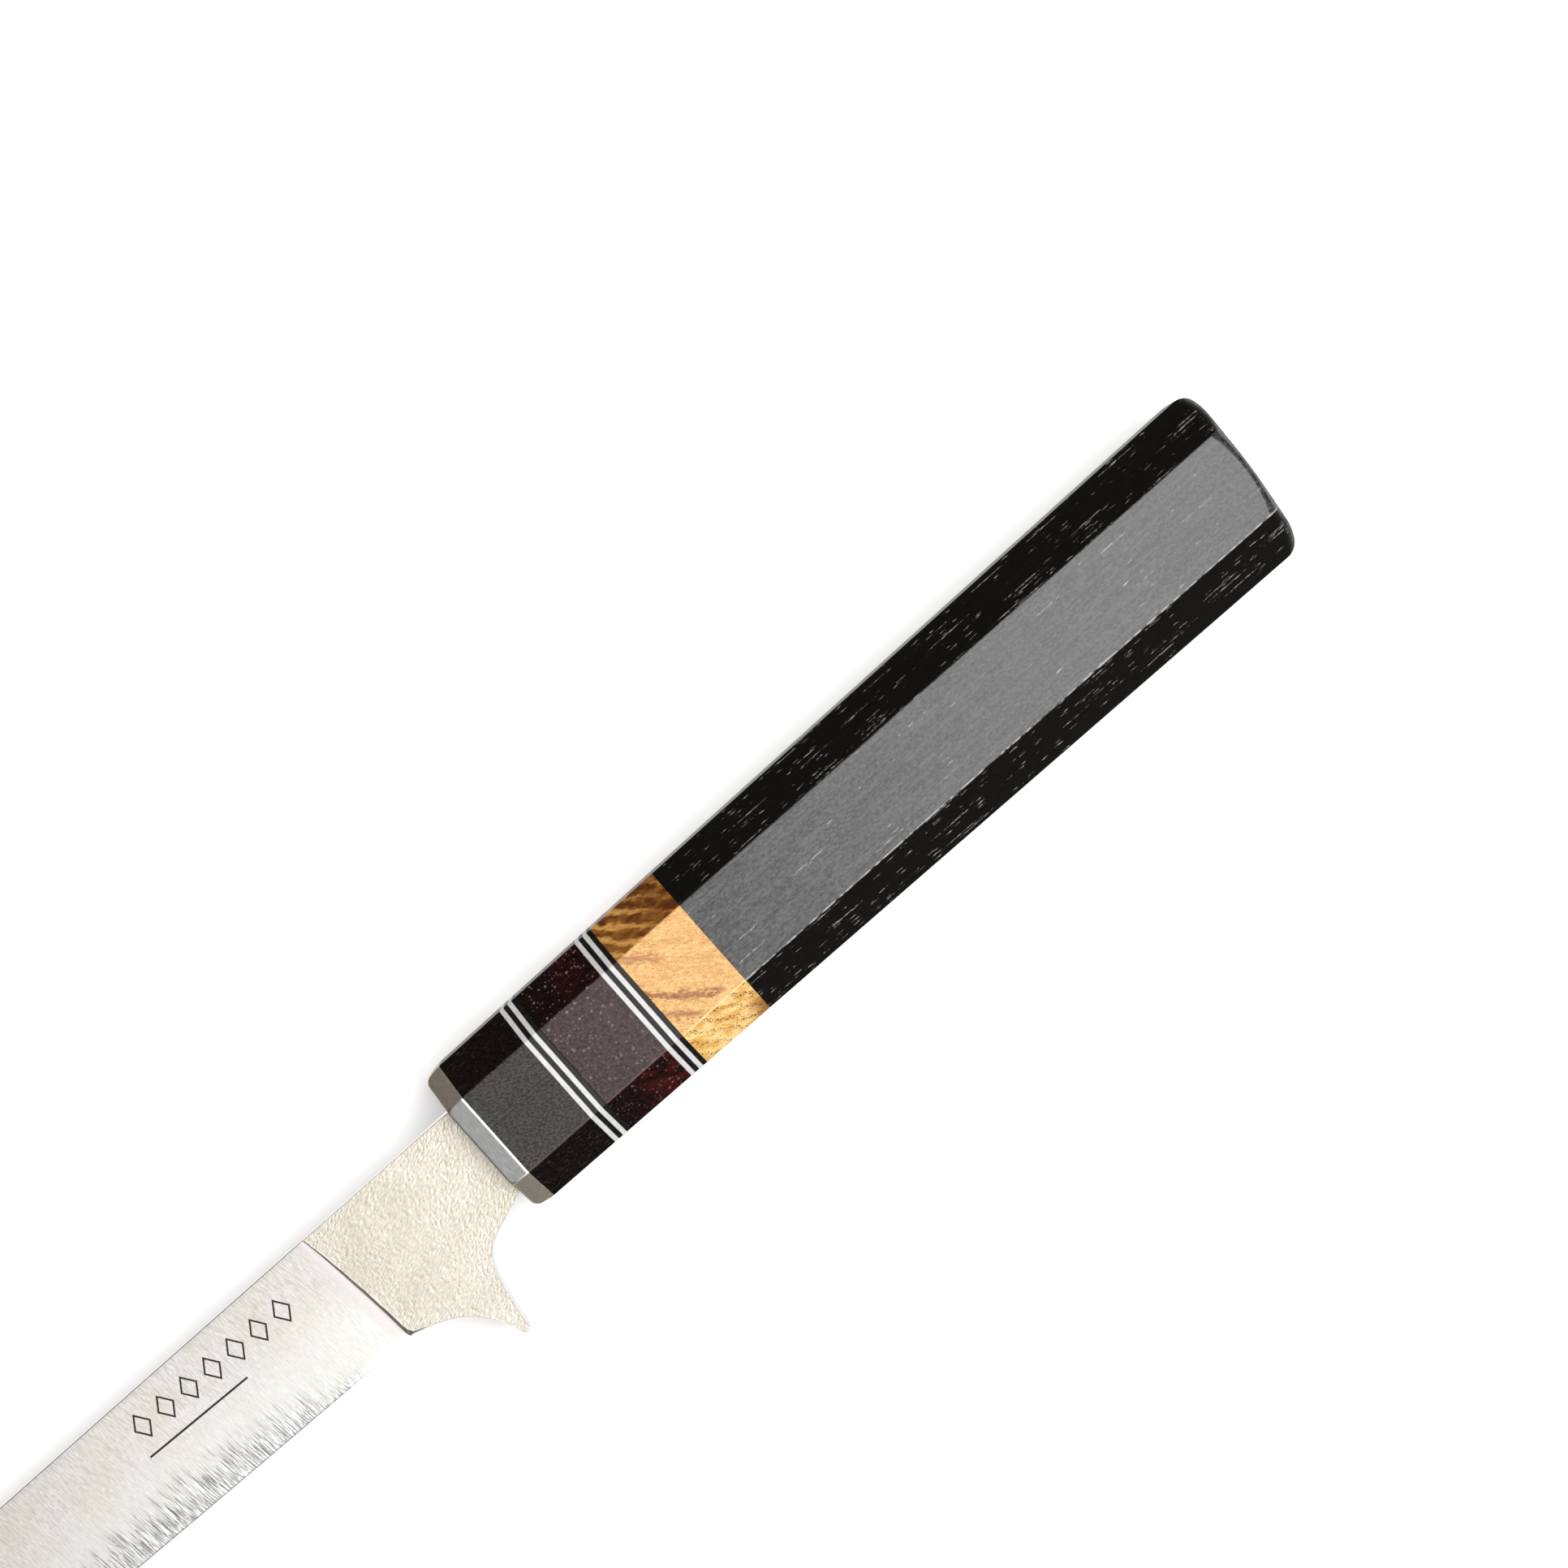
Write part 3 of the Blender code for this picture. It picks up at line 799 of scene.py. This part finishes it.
def dark_wood():
    """The front block: dark brown, mottled and close-grained, with a few long lines near its
    middle."""
    paint = Paint("dark_wood", 0.36, Specular_IOR_Level=0.30)
    flat_deep, flat_light = (0.0010, 0.0008, 0.0007), (0.041, 0.034, 0.032)
    # Painted shade: the chamfers take a much darker copy of the broad flats' palette
    side_deep, side_light = (0.0006, 0.0002, 0.0001), (0.0075, 0.0035, 0.0022)
    fleck_brown, edge_highlight_tone = (0.075, 0.055, 0.042), (0.06, 0.055, 0.05)

    mottle = paint.noise((0.38, 0.26, 0.26), turn=(0, 0, radians(25)), detail=3, rough=0.6)
    cloud = paint.noise((2.5, 1.6, 1.6), detail=2)
    shade = paint.plus(mottle, paint.times(cloud, 0.12))
    flat = paint.mix(paint.fit(shade, 0.40, 0.74), flat_deep, flat_light)
    side = paint.mix(paint.fit(shade, 0.46, 0.74), side_deep, side_light)
    base = paint.mix(paint.aside(), flat, side)

    level = paint.plus(paint.axis("Y"), paint.times(paint.axis("X"), DARK_LINE_SLOPE))
    away = paint.absolute(paint.minus(level, DARK_LINE_LEVEL))
    band = paint.times(paint.fit(away, 0.6, 1.2, 1.0, 0.0), paint.fit(cloud, 0.38, 0.56))
    line = paint.times(paint.fit(paint.wave(level, DARK_LINE_PITCH), 0.1, 0.9), band)
    base = paint.mix(paint.times(line, 0.7), base, flat_deep)
    fleck = paint.noise((0.7, 0.20, 0.20), shift=(2, 0, 5), detail=2)
    base = paint.mix(paint.fit(fleck, 0.60, 0.74, 0.0, 0.5), base, fleck_brown)

    # Painted highlight along the edge between the broad flats and the chamfer on the edge's side
    paint.colour(paint.painted_edge_highlight(base, edge_highlight_tone, 0.5))
    paint.roughness(paint.fit(mottle, 0.35, 0.65, 0.30, 0.40))
    paint.bump(paint.minus(mottle, line), 0.016)
    return paint.material


def burgundy_wood():
    """The middle block: near-black burgundy with round, soft, pinkish pores, crowded towards one
    corner."""
    paint = Paint("burgundy_wood", 0.36, Specular_IOR_Level=0.33)
    flat_deep, flat_light = (0.009, 0.0010, 0.0013), (0.046, 0.018, 0.021)
    # Painted shade: the chamfers take a much darker copy of the broad flats' palette
    side_deep, side_light = (0.0020, 0.0002, 0.0001), (0.0090, 0.0008, 0.0006)
    red, pink, edge_highlight_tone = (0.036, 0.0012, 0.0010), (0.19, 0.125, 0.125), (0.14, 0.07, 0.07)
    turn = (0, 0, BURGUNDY_LEAN)
    x, y = paint.axis("X"), paint.axis("Y")

    grain = paint.noise((0.50, 0.36, 0.36), turn=turn, detail=3)
    flat = paint.mix(paint.fit(grain, 0.30, 0.72), flat_deep, flat_light)
    side = paint.mix(paint.fit(grain, 0.38, 0.66), side_deep, side_light)
    glow = paint.noise((2.6, 1.3, 1.3), turn=turn, shift=(2, 4, 0), detail=2)
    glow = paint.times(paint.fit(glow, 0.40, 0.60), paint.fit(y, -FLAT_EDGE, FLAT_EDGE, 1.0, 0.35))
    glow = paint.times(glow, paint.fit(x, *GLOW_FROM))
    base = paint.mix(paint.aside(), flat, paint.mix(glow, side, red))

    crowd = paint.fit(paint.minus(y, x), *CROWD_FROM, 0.65, 1.0)
    for size, reach, strength in SPECKS:
        distance, random = paint.dots((size, size, size))
        reach = paint.fit(random, 0.1, 0.9, 0.0, reach)
        speck = paint.fit(paint.minus(reach, distance), 0.0, 0.20)
        base = paint.mix(paint.times(speck, paint.times(crowd, strength)), base, pink)

    # Painted highlight along the edge between the broad flats and the chamfer on the edge's side
    paint.colour(paint.painted_edge_highlight(base, edge_highlight_tone, 0.5))
    paint.roughness(paint.fit(grain, 0.35, 0.65, 0.30, 0.42))
    paint.bump(grain, 0.015)
    return paint.material


def figured_wood():
    """Golden wood with brown figure leaning across the grain: ragged streaks on the broad flats,
    dark bands on the spine side's chamfers, and rows of open pores on the edge side's."""
    paint = Paint("figured_wood", 0.42, Specular_IOR_Level=0.34)
    flat_deep, flat_light = (0.53, 0.27, 0.085), (0.68, 0.41, 0.150)
    line_brown, streak_brown = (0.44, 0.19, 0.055), (0.26, 0.082, 0.026)
    side_deep, side_light = (0.090, 0.020, 0.001), (0.22, 0.080, 0.007)
    side_gold, low_brown = (0.56, 0.28, 0.065), (0.24, 0.09, 0.015)
    low_deep, low_light = (0.60, 0.32, 0.075), (0.82, 0.55, 0.22)
    pore_brown, edge_highlight_tone = (0.10, 0.045, 0.012), (0.92, 0.72, 0.40)
    turn = (0, 0, FIGURE_LEAN)
    x, y = paint.axis("X"), paint.axis("Y")
    turned = paint.parts(paint.stretched((1, 1, 1), turn))
    warp = paint.noise((2.8, 1.2, 1.2), turn=turn, shift=(5, 5, 5), detail=2)
    across = paint.plus(turned["Y"], paint.times(paint.minus(warp, 0.5), 1.6))
    cloud = paint.noise((3.0, 1.2, 1.2), turn=turn, detail=3)
    line = paint.noise((3, 0.25, 0.4), turn=turn, shift=(1, 1, 0), detail=3)
    grit = paint.noise((0.30, 0.14, 0.14), turn=turn, shift=(3, 3, 3), detail=1)
    mottle = paint.noise((0.7, 0.42, 0.42), turn=turn, shift=(0, 6, 0), detail=4, rough=0.6)

    # The broad flats
    shade = paint.plus(paint.times(cloud, 0.4), paint.times(mottle, 0.6))
    flat = paint.mix(paint.fit(shade, 0.36, 0.62), flat_deep, flat_light)
    flat = paint.mix(paint.fit(line, 0.52, 0.70, 0.0, 0.45), flat, line_brown)
    streak = 0.0
    rags = paint.fit(mottle, 0.3, 0.7, -0.25, 0.30)
    for level, end, strength in STREAKS:
        off = paint.plus(paint.absolute(paint.minus(across, level)), rags)
        near = paint.fit(off, 0.15, 0.85, strength, 0.0)
        near = paint.times(near, paint.fit(turned["X"], end - 1.2, end + 0.8, 1.0, 0.0))
        streak = paint.math("MAXIMUM", streak, near)
    streak = paint.times(streak, paint.fit(mottle, 0.30, 0.62, 1.0, 0.75))
    flat = paint.mix(streak, flat, streak_brown)

    # The chamfers on the spine's side
    band = paint.plus(paint.wave(across, BAND_PITCH), paint.times(paint.minus(line, 0.5), 2.2))
    band = paint.minus(band, paint.fit(x, *BANDS_CLOSE, 0.0, 0.9))
    side = paint.mix(paint.fit(cloud, 0.38, 0.62), side_deep, side_light)
    side = paint.mix(paint.fit(band, -0.4, 1.3), side, side_gold)
    wood = paint.mix(paint.fit(y, *FLAT_TO_CHAMFER), flat, side)

    # The chamfers on the edge's side
    low = paint.mix(paint.fit(cloud, 0.35, 0.65), low_deep, low_light)
    corner_x, corner_y = BROWN_CORNER
    corner = paint.times(paint.fit(x, *corner_x), paint.fit(y, *corner_y, 1.0, 0.0))
    low = paint.mix(paint.times(corner, 0.9), low, low_brown)
    flat_end, low_start = FLAT_TO_CHAMFER
    below = paint.fit(y, -low_start, -flat_end, 1.0, 0.0)
    wood = paint.mix(below, wood, low)

    row = paint.times(paint.fit(paint.wave(across, PORE_ROW_PITCH), 0.1, 0.95), below)
    gate = paint.minus(0.615, paint.times(row, 0.115))
    pore = paint.times(paint.minus(grit, gate), 12.0, clamp=True)
    pore = paint.times(pore, paint.fit(below, 0.0, 1.0, 0.65, 0.95))
    wood = paint.mix(pore, wood, pore_brown)
    # Painted highlight along the edge between the broad flats and the chamfer on the edge's side
    paint.colour(paint.painted_edge_highlight(wood, edge_highlight_tone, 0.5))
    paint.roughness(paint.fit(cloud, 0.3, 0.7, 0.32, 0.44))
    paint.bump(paint.minus(paint.times(line, 0.6), pore), 0.015)
    return paint.material


def fibre(name, dark, light, roughness, gloss=0.5):
    """Vulcanised fibre sheet: faint fibres pressed flat."""
    paint = Paint(name, roughness, Specular_IOR_Level=gloss)
    threads = paint.noise((0.3, 1.1, 1.1), detail=4, rough=0.6)
    paint.colour(paint.mix(paint.fit(threads, 0.3, 0.7), dark, light))
    paint.roughness(paint.fit(threads, 0.3, 0.7, roughness - 0.06, roughness + 0.06))
    paint.bump(threads, 0.008)
    return paint.material


def ferrule_metal():
    """Satin metal with fine marks around the plate, warmer and lighter on the chamfers, and a
    painted highlight along the edge between a broad flat and the chamfer on the edge's side.
    """
    paint = Paint("ferrule_metal", 0.38, 0.8)
    satin_dark, satin_light = (0.27, 0.275, 0.275), (0.36, 0.365, 0.365)
    stain, edge_highlight_tone = (0.34, 0.33, 0.31), (0.80, 0.80, 0.78)
    warm_dark, warm_light = (0.46, 0.41, 0.325), (0.62, 0.57, 0.49)
    marks = paint.noise((0.12, 1.2, 1.2), detail=3)
    cloud = paint.noise((1.5, 1.6, 1.6), detail=2)
    tone = paint.mix(paint.fit(marks, 0.3, 0.7), satin_dark, satin_light)
    tone = paint.mix(paint.fit(cloud, 0.45, 0.7, 0.0, 0.6), tone, stain)
    grind = paint.noise((1.4, 0.10, 0.10), shift=(1, 0, 1), detail=3)
    warm = paint.mix(paint.fit(grind, 0.3, 0.7), warm_dark, warm_light)
    # Painted highlight along the edge between the broad flats and the chamfer on the edge's side
    paint.colour(paint.painted_edge_highlight(paint.mix(paint.aside(), tone, warm), edge_highlight_tone))
    paint.roughness(paint.fit(marks, 0.3, 0.7, 0.32, 0.44))
    paint.bump(marks, 0.004)
    return paint.material


def wall(paint):
    """1 on faces that stand square to the blade's sides, such as its spine."""
    return paint.fit(paint.absolute(paint.facing("Z")), 0.3, 0.8, 1.0, 0.0)


def smooth_walls(paint, rough):
    return paint.math("MINIMUM", rough, paint.fit(wall(paint), 0.0, 1.0, 1.0, WALL_ROUGHNESS))


def bevel(paint):
    """1 on the narrow bevel that forms the cutting edge."""
    return paint.fit(paint.absolute(paint.facing("Z")), 0.945, 0.975, 1.0, 0.0)


def blade_steel():
    """Ground steel: fine marks across the blade, coarse ones and nicks above the edge, and a plain
    etched device. Painted in as well: shade towards the heel, a highlight towards the edge, a
    pinkish band of reflected light and shade by the step, and a light reflection on the walls."""
    paint = Paint("blade_steel", 0.40, 1.0)
    warm, cool, painted_wall_light = (0.535, 0.52, 0.475), (0.565, 0.55, 0.54), (0.90, 0.89, 0.87)
    brush_dark, hair_light = (0.38, 0.37, 0.345), (0.68, 0.675, 0.655)
    painted_heel_shade, low_light, pink = (0.10, 0.10, 0.09), (0.64, 0.64, 0.625), (0.47, 0.425, 0.43)
    furrow_dark, crest_light = (0.12, 0.125, 0.13), (0.78, 0.78, 0.78)
    bevel_dark, etched = (0.14, 0.145, 0.15), (0.03, 0.027, 0.026)
    turn = (0, 0, BRUSH_LEAN)
    x, y = paint.axis("X"), paint.axis("Y")

    brush = paint.noise((0.15, 1.6, 1.6), turn=turn, detail=3, rough=0.6)
    hair = paint.noise((0.11, 0.9, 0.9), turn=turn, shift=(1, 1, 1), detail=2)
    cloud = paint.noise((6, 3.5, 3.5), detail=3)
    tone = paint.mix(paint.fit(cloud, 0.38, 0.62), warm, cool)
    tone = paint.mix(paint.fit(brush, 0.42, 0.62, 0.0, 0.80), tone, brush_dark)
    tone = paint.mix(paint.fit(hair, 0.52, 0.66, 0.0, 0.6), tone, hair_light)
    # Painted shade, darker towards the heel
    tone = paint.mix(paint.fit(x, *SHADE_RUN, 0.0, 0.16), tone, painted_heel_shade)
    # Painted highlight, whiter towards the edge
    tone = paint.mix(paint.fit(y, *EDGE_HIGHLIGHT_RUN, 0.38, 0.0), tone, low_light)
    # Painted pinkish band of reflected light and shade by the step
    painted_step_tint = paint.fit(paint.plus(x, paint.times(y, STEP_TINT_SLOPE)), *STEP_TINT_RUN, 0.0, 0.75)
    tone = paint.mix(painted_step_tint, tone, pink)

    # Coarse marks, up to a wandering height above the edge
    top = paint.fit(x, *MARKS_RISE, MARKS_TOP[1], MARKS_TOP[0])
    wander = paint.noise((0.35, 9, 9), turn=turn, shift=(5, 0, 0), detail=3)
    top = paint.plus(top, paint.fit(wander, 0.3, 0.7, -1.8, 1.8))
    depth = paint.fit(paint.minus(top, y), 0.0, 4.0)
    depth = paint.times(depth, paint.fit(x, *MARKS_START, 1.0, 0.0))
    patch = paint.noise((3, 9, 9), shift=(0, 0, 6))
    depth = paint.times(depth, paint.fit(patch, 0.3, 0.6, 0.7, 1.0))
    coarse = paint.noise((0.16, 3.0, 3.0), turn=turn, shift=(3, 2, 0), detail=3, rough=0.7)
    furrow = paint.times(paint.fit(coarse, 0.44, 0.58), depth)
    crest = paint.times(paint.fit(coarse, 0.46, 0.36), depth)

    # Short nicks along the edge itself
    run, level = NICKS_ABOVE
    above = paint.minus(y, paint.fit(x, *run, *level))
    nick = paint.noise((0.15, 1.5, 1.5), turn=turn, shift=(8, 2, 0), detail=3, rough=0.6)
    nick = paint.times(paint.fit(nick, 0.46, 0.60), paint.fit(above, *NICK_HEIGHTS, 1.0, 0.0))
    nick = paint.times(nick, paint.fit(x, *NICKS_END, 1.0, 0.0))
    furrow = paint.math("MAXIMUM", furrow, nick)

    tone = paint.mix(paint.times(furrow, 0.95), tone, furrow_dark)
    tone = paint.mix(paint.times(crest, 0.8), tone, crest_light)
    ground = paint.times(bevel(paint), paint.fit(x, *BEVEL_FADE, 0.9, 0.1))
    tone = paint.mix(ground, tone, bevel_dark)
    tone = paint.mix(device_mask(paint), tone, etched)
    # Painted reflection: the walls, such as the spine, take a far lighter tone
    paint.colour(paint.mix(wall(paint), tone, painted_wall_light))
    paint.roughness(smooth_walls(paint, paint.fit(brush, 0.3, 0.7, 0.36, 0.46)))
    relief = paint.plus(brush, paint.times(hair, 0.5))
    paint.bump(paint.minus(relief, paint.times(furrow, 1.5)), 0.004)
    return paint.material


def device_mask(paint):
    """1 on the device etched on the blade's upper side: a rule, and outlined lozenges above it."""
    (start, stop), level, half = RULE
    x, y, z = (paint.axis(letter) for letter in "XYZ")
    y = paint.plus(y, paint.times(paint.minus(x, start), DEVICE_SLOPE))
    off = paint.absolute(paint.minus(y, level))
    rule = paint.times(paint.between(x, start, stop), paint.math("LESS_THAN", off, half))

    (start, stop), level = LOZENGE_ROW
    half_x, half_y = LOZENGE_HALF
    step = paint.math("MODULO", paint.minus(x, start - 10 * LOZENGE_PITCH), LOZENGE_PITCH)
    across = paint.absolute(paint.minus(step, LOZENGE_PITCH / 2))
    up = paint.absolute(paint.minus(y, level))
    reach = paint.plus(paint.math("DIVIDE", across, half_x), paint.math("DIVIDE", up, half_y))
    line = LOZENGE_LINE / half_x * sqrt(1 + (half_x / half_y) ** 2)
    row = paint.times(paint.between(reach, 1 - 2 * line, 1.0), paint.between(x, start, stop))
    return paint.times(paint.math("MAXIMUM", rule, row), paint.math("GREATER_THAN", z, 0.0))


def cast_steel():
    """The bolster's skin: warm, matt, blasted steel, with painted shade on the step that faces the
    blade and in the relief's low spots, and a painted reflection lightening its walls.
    """
    paint = Paint("cast_steel", 0.5, 1.0)
    warm_dark, warm_light = (0.435, 0.405, 0.350), (0.475, 0.445, 0.395)
    painted_wall_light, painted_low_shade, black = (0.90, 0.87, 0.80), (0.31, 0.28, 0.225), (0.022, 0.016, 0.015)
    cloud = paint.noise((4, 4, 4), detail=3)
    grain = paint.noise((0.62, 0.20, 0.20), turn=(0, 0, -PEBBLE_LEAN), detail=2)
    tone = paint.mix(paint.fit(cloud, 0.3, 0.7), warm_dark, warm_light)
    # Painted shade in the relief's low spots
    tone = paint.mix(paint.fit(grain, 0.45, 0.66, 0.0, 0.45), tone, painted_low_shade)
    # Painted shade on the step that faces the blade
    tone = paint.mix(paint.fit(paint.facing("X"), -0.75, -0.50, 1.0, 0.0), tone, black)
    # Painted reflection: the walls take a far lighter tone
    paint.colour(paint.mix(wall(paint), tone, painted_wall_light))
    paint.roughness(smooth_walls(paint, paint.fit(grain, 0.3, 0.7, 0.44, 0.56)))
    paint.bump(paint.times(grain, -1.0), 0.02)
    return paint.material


def dowel_wood():
    paint = Paint("dowel_wood", 0.6)
    grain = paint.noise((12, 0.5, 0.5), detail=3)
    paint.colour(paint.mix(paint.fit(grain, 0.3, 0.7), (0.50, 0.34, 0.20), (0.66, 0.49, 0.31)))
    paint.bump(grain, 0.02)
    return paint.material


def epoxy():
    paint = Paint("epoxy", 0.2)
    haze = paint.noise((3, 2, 2), detail=2)
    paint.colour(paint.mix(paint.fit(haze, 0.3, 0.7), (0.40, 0.28, 0.12), (0.52, 0.39, 0.19)))
    paint.roughness(paint.fit(haze, 0.3, 0.7, 0.15, 0.28))
    return paint.material


def dress(node, material):
    """Gives a CAD node that stays in view its material."""
    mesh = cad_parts[node].data
    mesh.materials.clear()
    mesh.materials.append(material)


# ---- studio ----


def build_floor():
    bm = bmesh.new()
    bmesh.ops.create_circle(bm, cap_ends=True, segments=FLOOR_SIDES, radius=FLOOR_RADIUS)
    mesh = bpy.data.meshes.new("floor")
    bm.to_mesh(mesh)
    bm.free()
    floor = bpy.data.objects.new("floor", mesh)
    bpy.context.scene.collection.objects.link(floor)
    floor.location.z = FLOOR_Z
    floor.visible_glossy = False
    material = bpy.data.materials.new("floor")
    material.use_nodes = True
    shader = material.node_tree.nodes["Principled BSDF"]
    shader.inputs["Base Color"].default_value = (*FLOOR_COLOUR, 1)
    shader.inputs["Roughness"].default_value = FLOOR_ROUGHNESS
    shader.inputs["Specular IOR Level"].default_value = 0.0
    mesh.materials.append(material)


def add_soft_box(name, place, size, power, casts=True):
    """An area light that looks squarely at the knife's axis."""
    data = bpy.data.lights.new(name, "AREA")
    data.shape = "RECTANGLE"
    data.size, data.size_y = size
    data.energy = power
    data.use_shadow = casts
    box = bpy.data.objects.new(name, data)
    box.location = place
    aim = Vector((place[0], 0, 0)) - Vector(place)
    box.rotation_euler = aim.to_track_quat("-Z", "Y").to_euler()
    bpy.context.scene.collection.objects.link(box)


def build_surround():
    """A surround that is bright above, darkest and warmest near the horizon. The camera itself sees
    plain white in its place."""
    world = bpy.data.worlds.new("surround")
    bpy.context.scene.world = world
    world.use_nodes = True
    nodes, links = world.node_tree.nodes, world.node_tree.links
    nodes.clear()
    facing = nodes.new("ShaderNodeVectorMath")
    facing.operation = "DOT_PRODUCT"
    facing.inputs[1].default_value = SKY_PEAK
    links.new(nodes.new("ShaderNodeTexCoord").outputs["Generated"], facing.inputs[0])
    spread = nodes.new("ShaderNodeMapRange")
    spread.inputs["From Min"].default_value = -1
    links.new(facing.outputs["Value"], spread.inputs["Value"])
    ramp = nodes.new("ShaderNodeValToRGB")
    links.new(spread.outputs[0], ramp.inputs["Fac"])
    top = max(level for _, level, _ in SKY)
    stops = ramp.color_ramp.elements
    while len(stops) < len(SKY):
        stops.new(0.5)
    for stop, (at, level, warm) in zip(stops, SKY):
        stop.position = (at + 1) / 2
        stop.color = (*(level / top * (1 + (tint - 1) * warm) for tint in SKY_WARM), 1)
    lit, seen = nodes.new("ShaderNodeBackground"), nodes.new("ShaderNodeBackground")
    lit.inputs["Strength"].default_value = top
    links.new(ramp.outputs["Color"], lit.inputs["Color"])
    seen.inputs["Strength"].default_value = BACKDROP
    choose = nodes.new("ShaderNodeMixShader")
    out = nodes.new("ShaderNodeOutputWorld")
    links.new(nodes.new("ShaderNodeLightPath").outputs["Is Camera Ray"], choose.inputs[0])
    links.new(lit.outputs[0], choose.inputs[1])
    links.new(seen.outputs[0], choose.inputs[2])
    links.new(choose.outputs[0], out.inputs["Surface"])


def build_camera():
    data = bpy.data.cameras.new("camera")
    data.lens = CAMERA_LENS
    data.sensor_width = SENSOR_WIDTH
    data.clip_start = CLIP_START
    camera = bpy.data.objects.new("camera", data)
    bpy.context.scene.collection.objects.link(camera)
    tilt = Euler((*CAMERA_TILT, 0)).to_matrix().to_4x4()
    roll = Matrix.Rotation(CAMERA_ROLL, 4, "Z")
    camera.matrix_world = Matrix.Translation(CAMERA_PLACE) @ tilt @ roll
    bpy.context.scene.camera = camera


def build_knife():
    build_forging([blade_steel(), cast_steel()])
    build_ferrule(ferrule_metal())
    build_slice("front_block", dark_wood())
    build_slice("middle_block", burgundy_wood())
    build_slice("figured_block", figured_wood())
    white = fibre("white_fibre", (0.48, 0.475, 0.46), (0.57, 0.565, 0.555), 0.38)
    black = fibre("black_fibre", (0.003, 0.003, 0.004), (0.008, 0.008, 0.010), 0.42, 0.26)
    for node in WHITE_SPACERS:
        build_slice(node, white)
    for node in BLACK_SPACERS:
        build_slice(node, black)
    build_handle_body(black_wood())
    dress("core_dowel", dowel_wood())
    dress("tang_epoxy", epoxy())


build_knife()
build_floor()
add_soft_box("overhead", *OVERHEAD)
add_soft_box("strip", *STRIP, casts=False)
build_surround()
build_camera()
bpy.context.scene.view_settings.view_transform = "Standard"
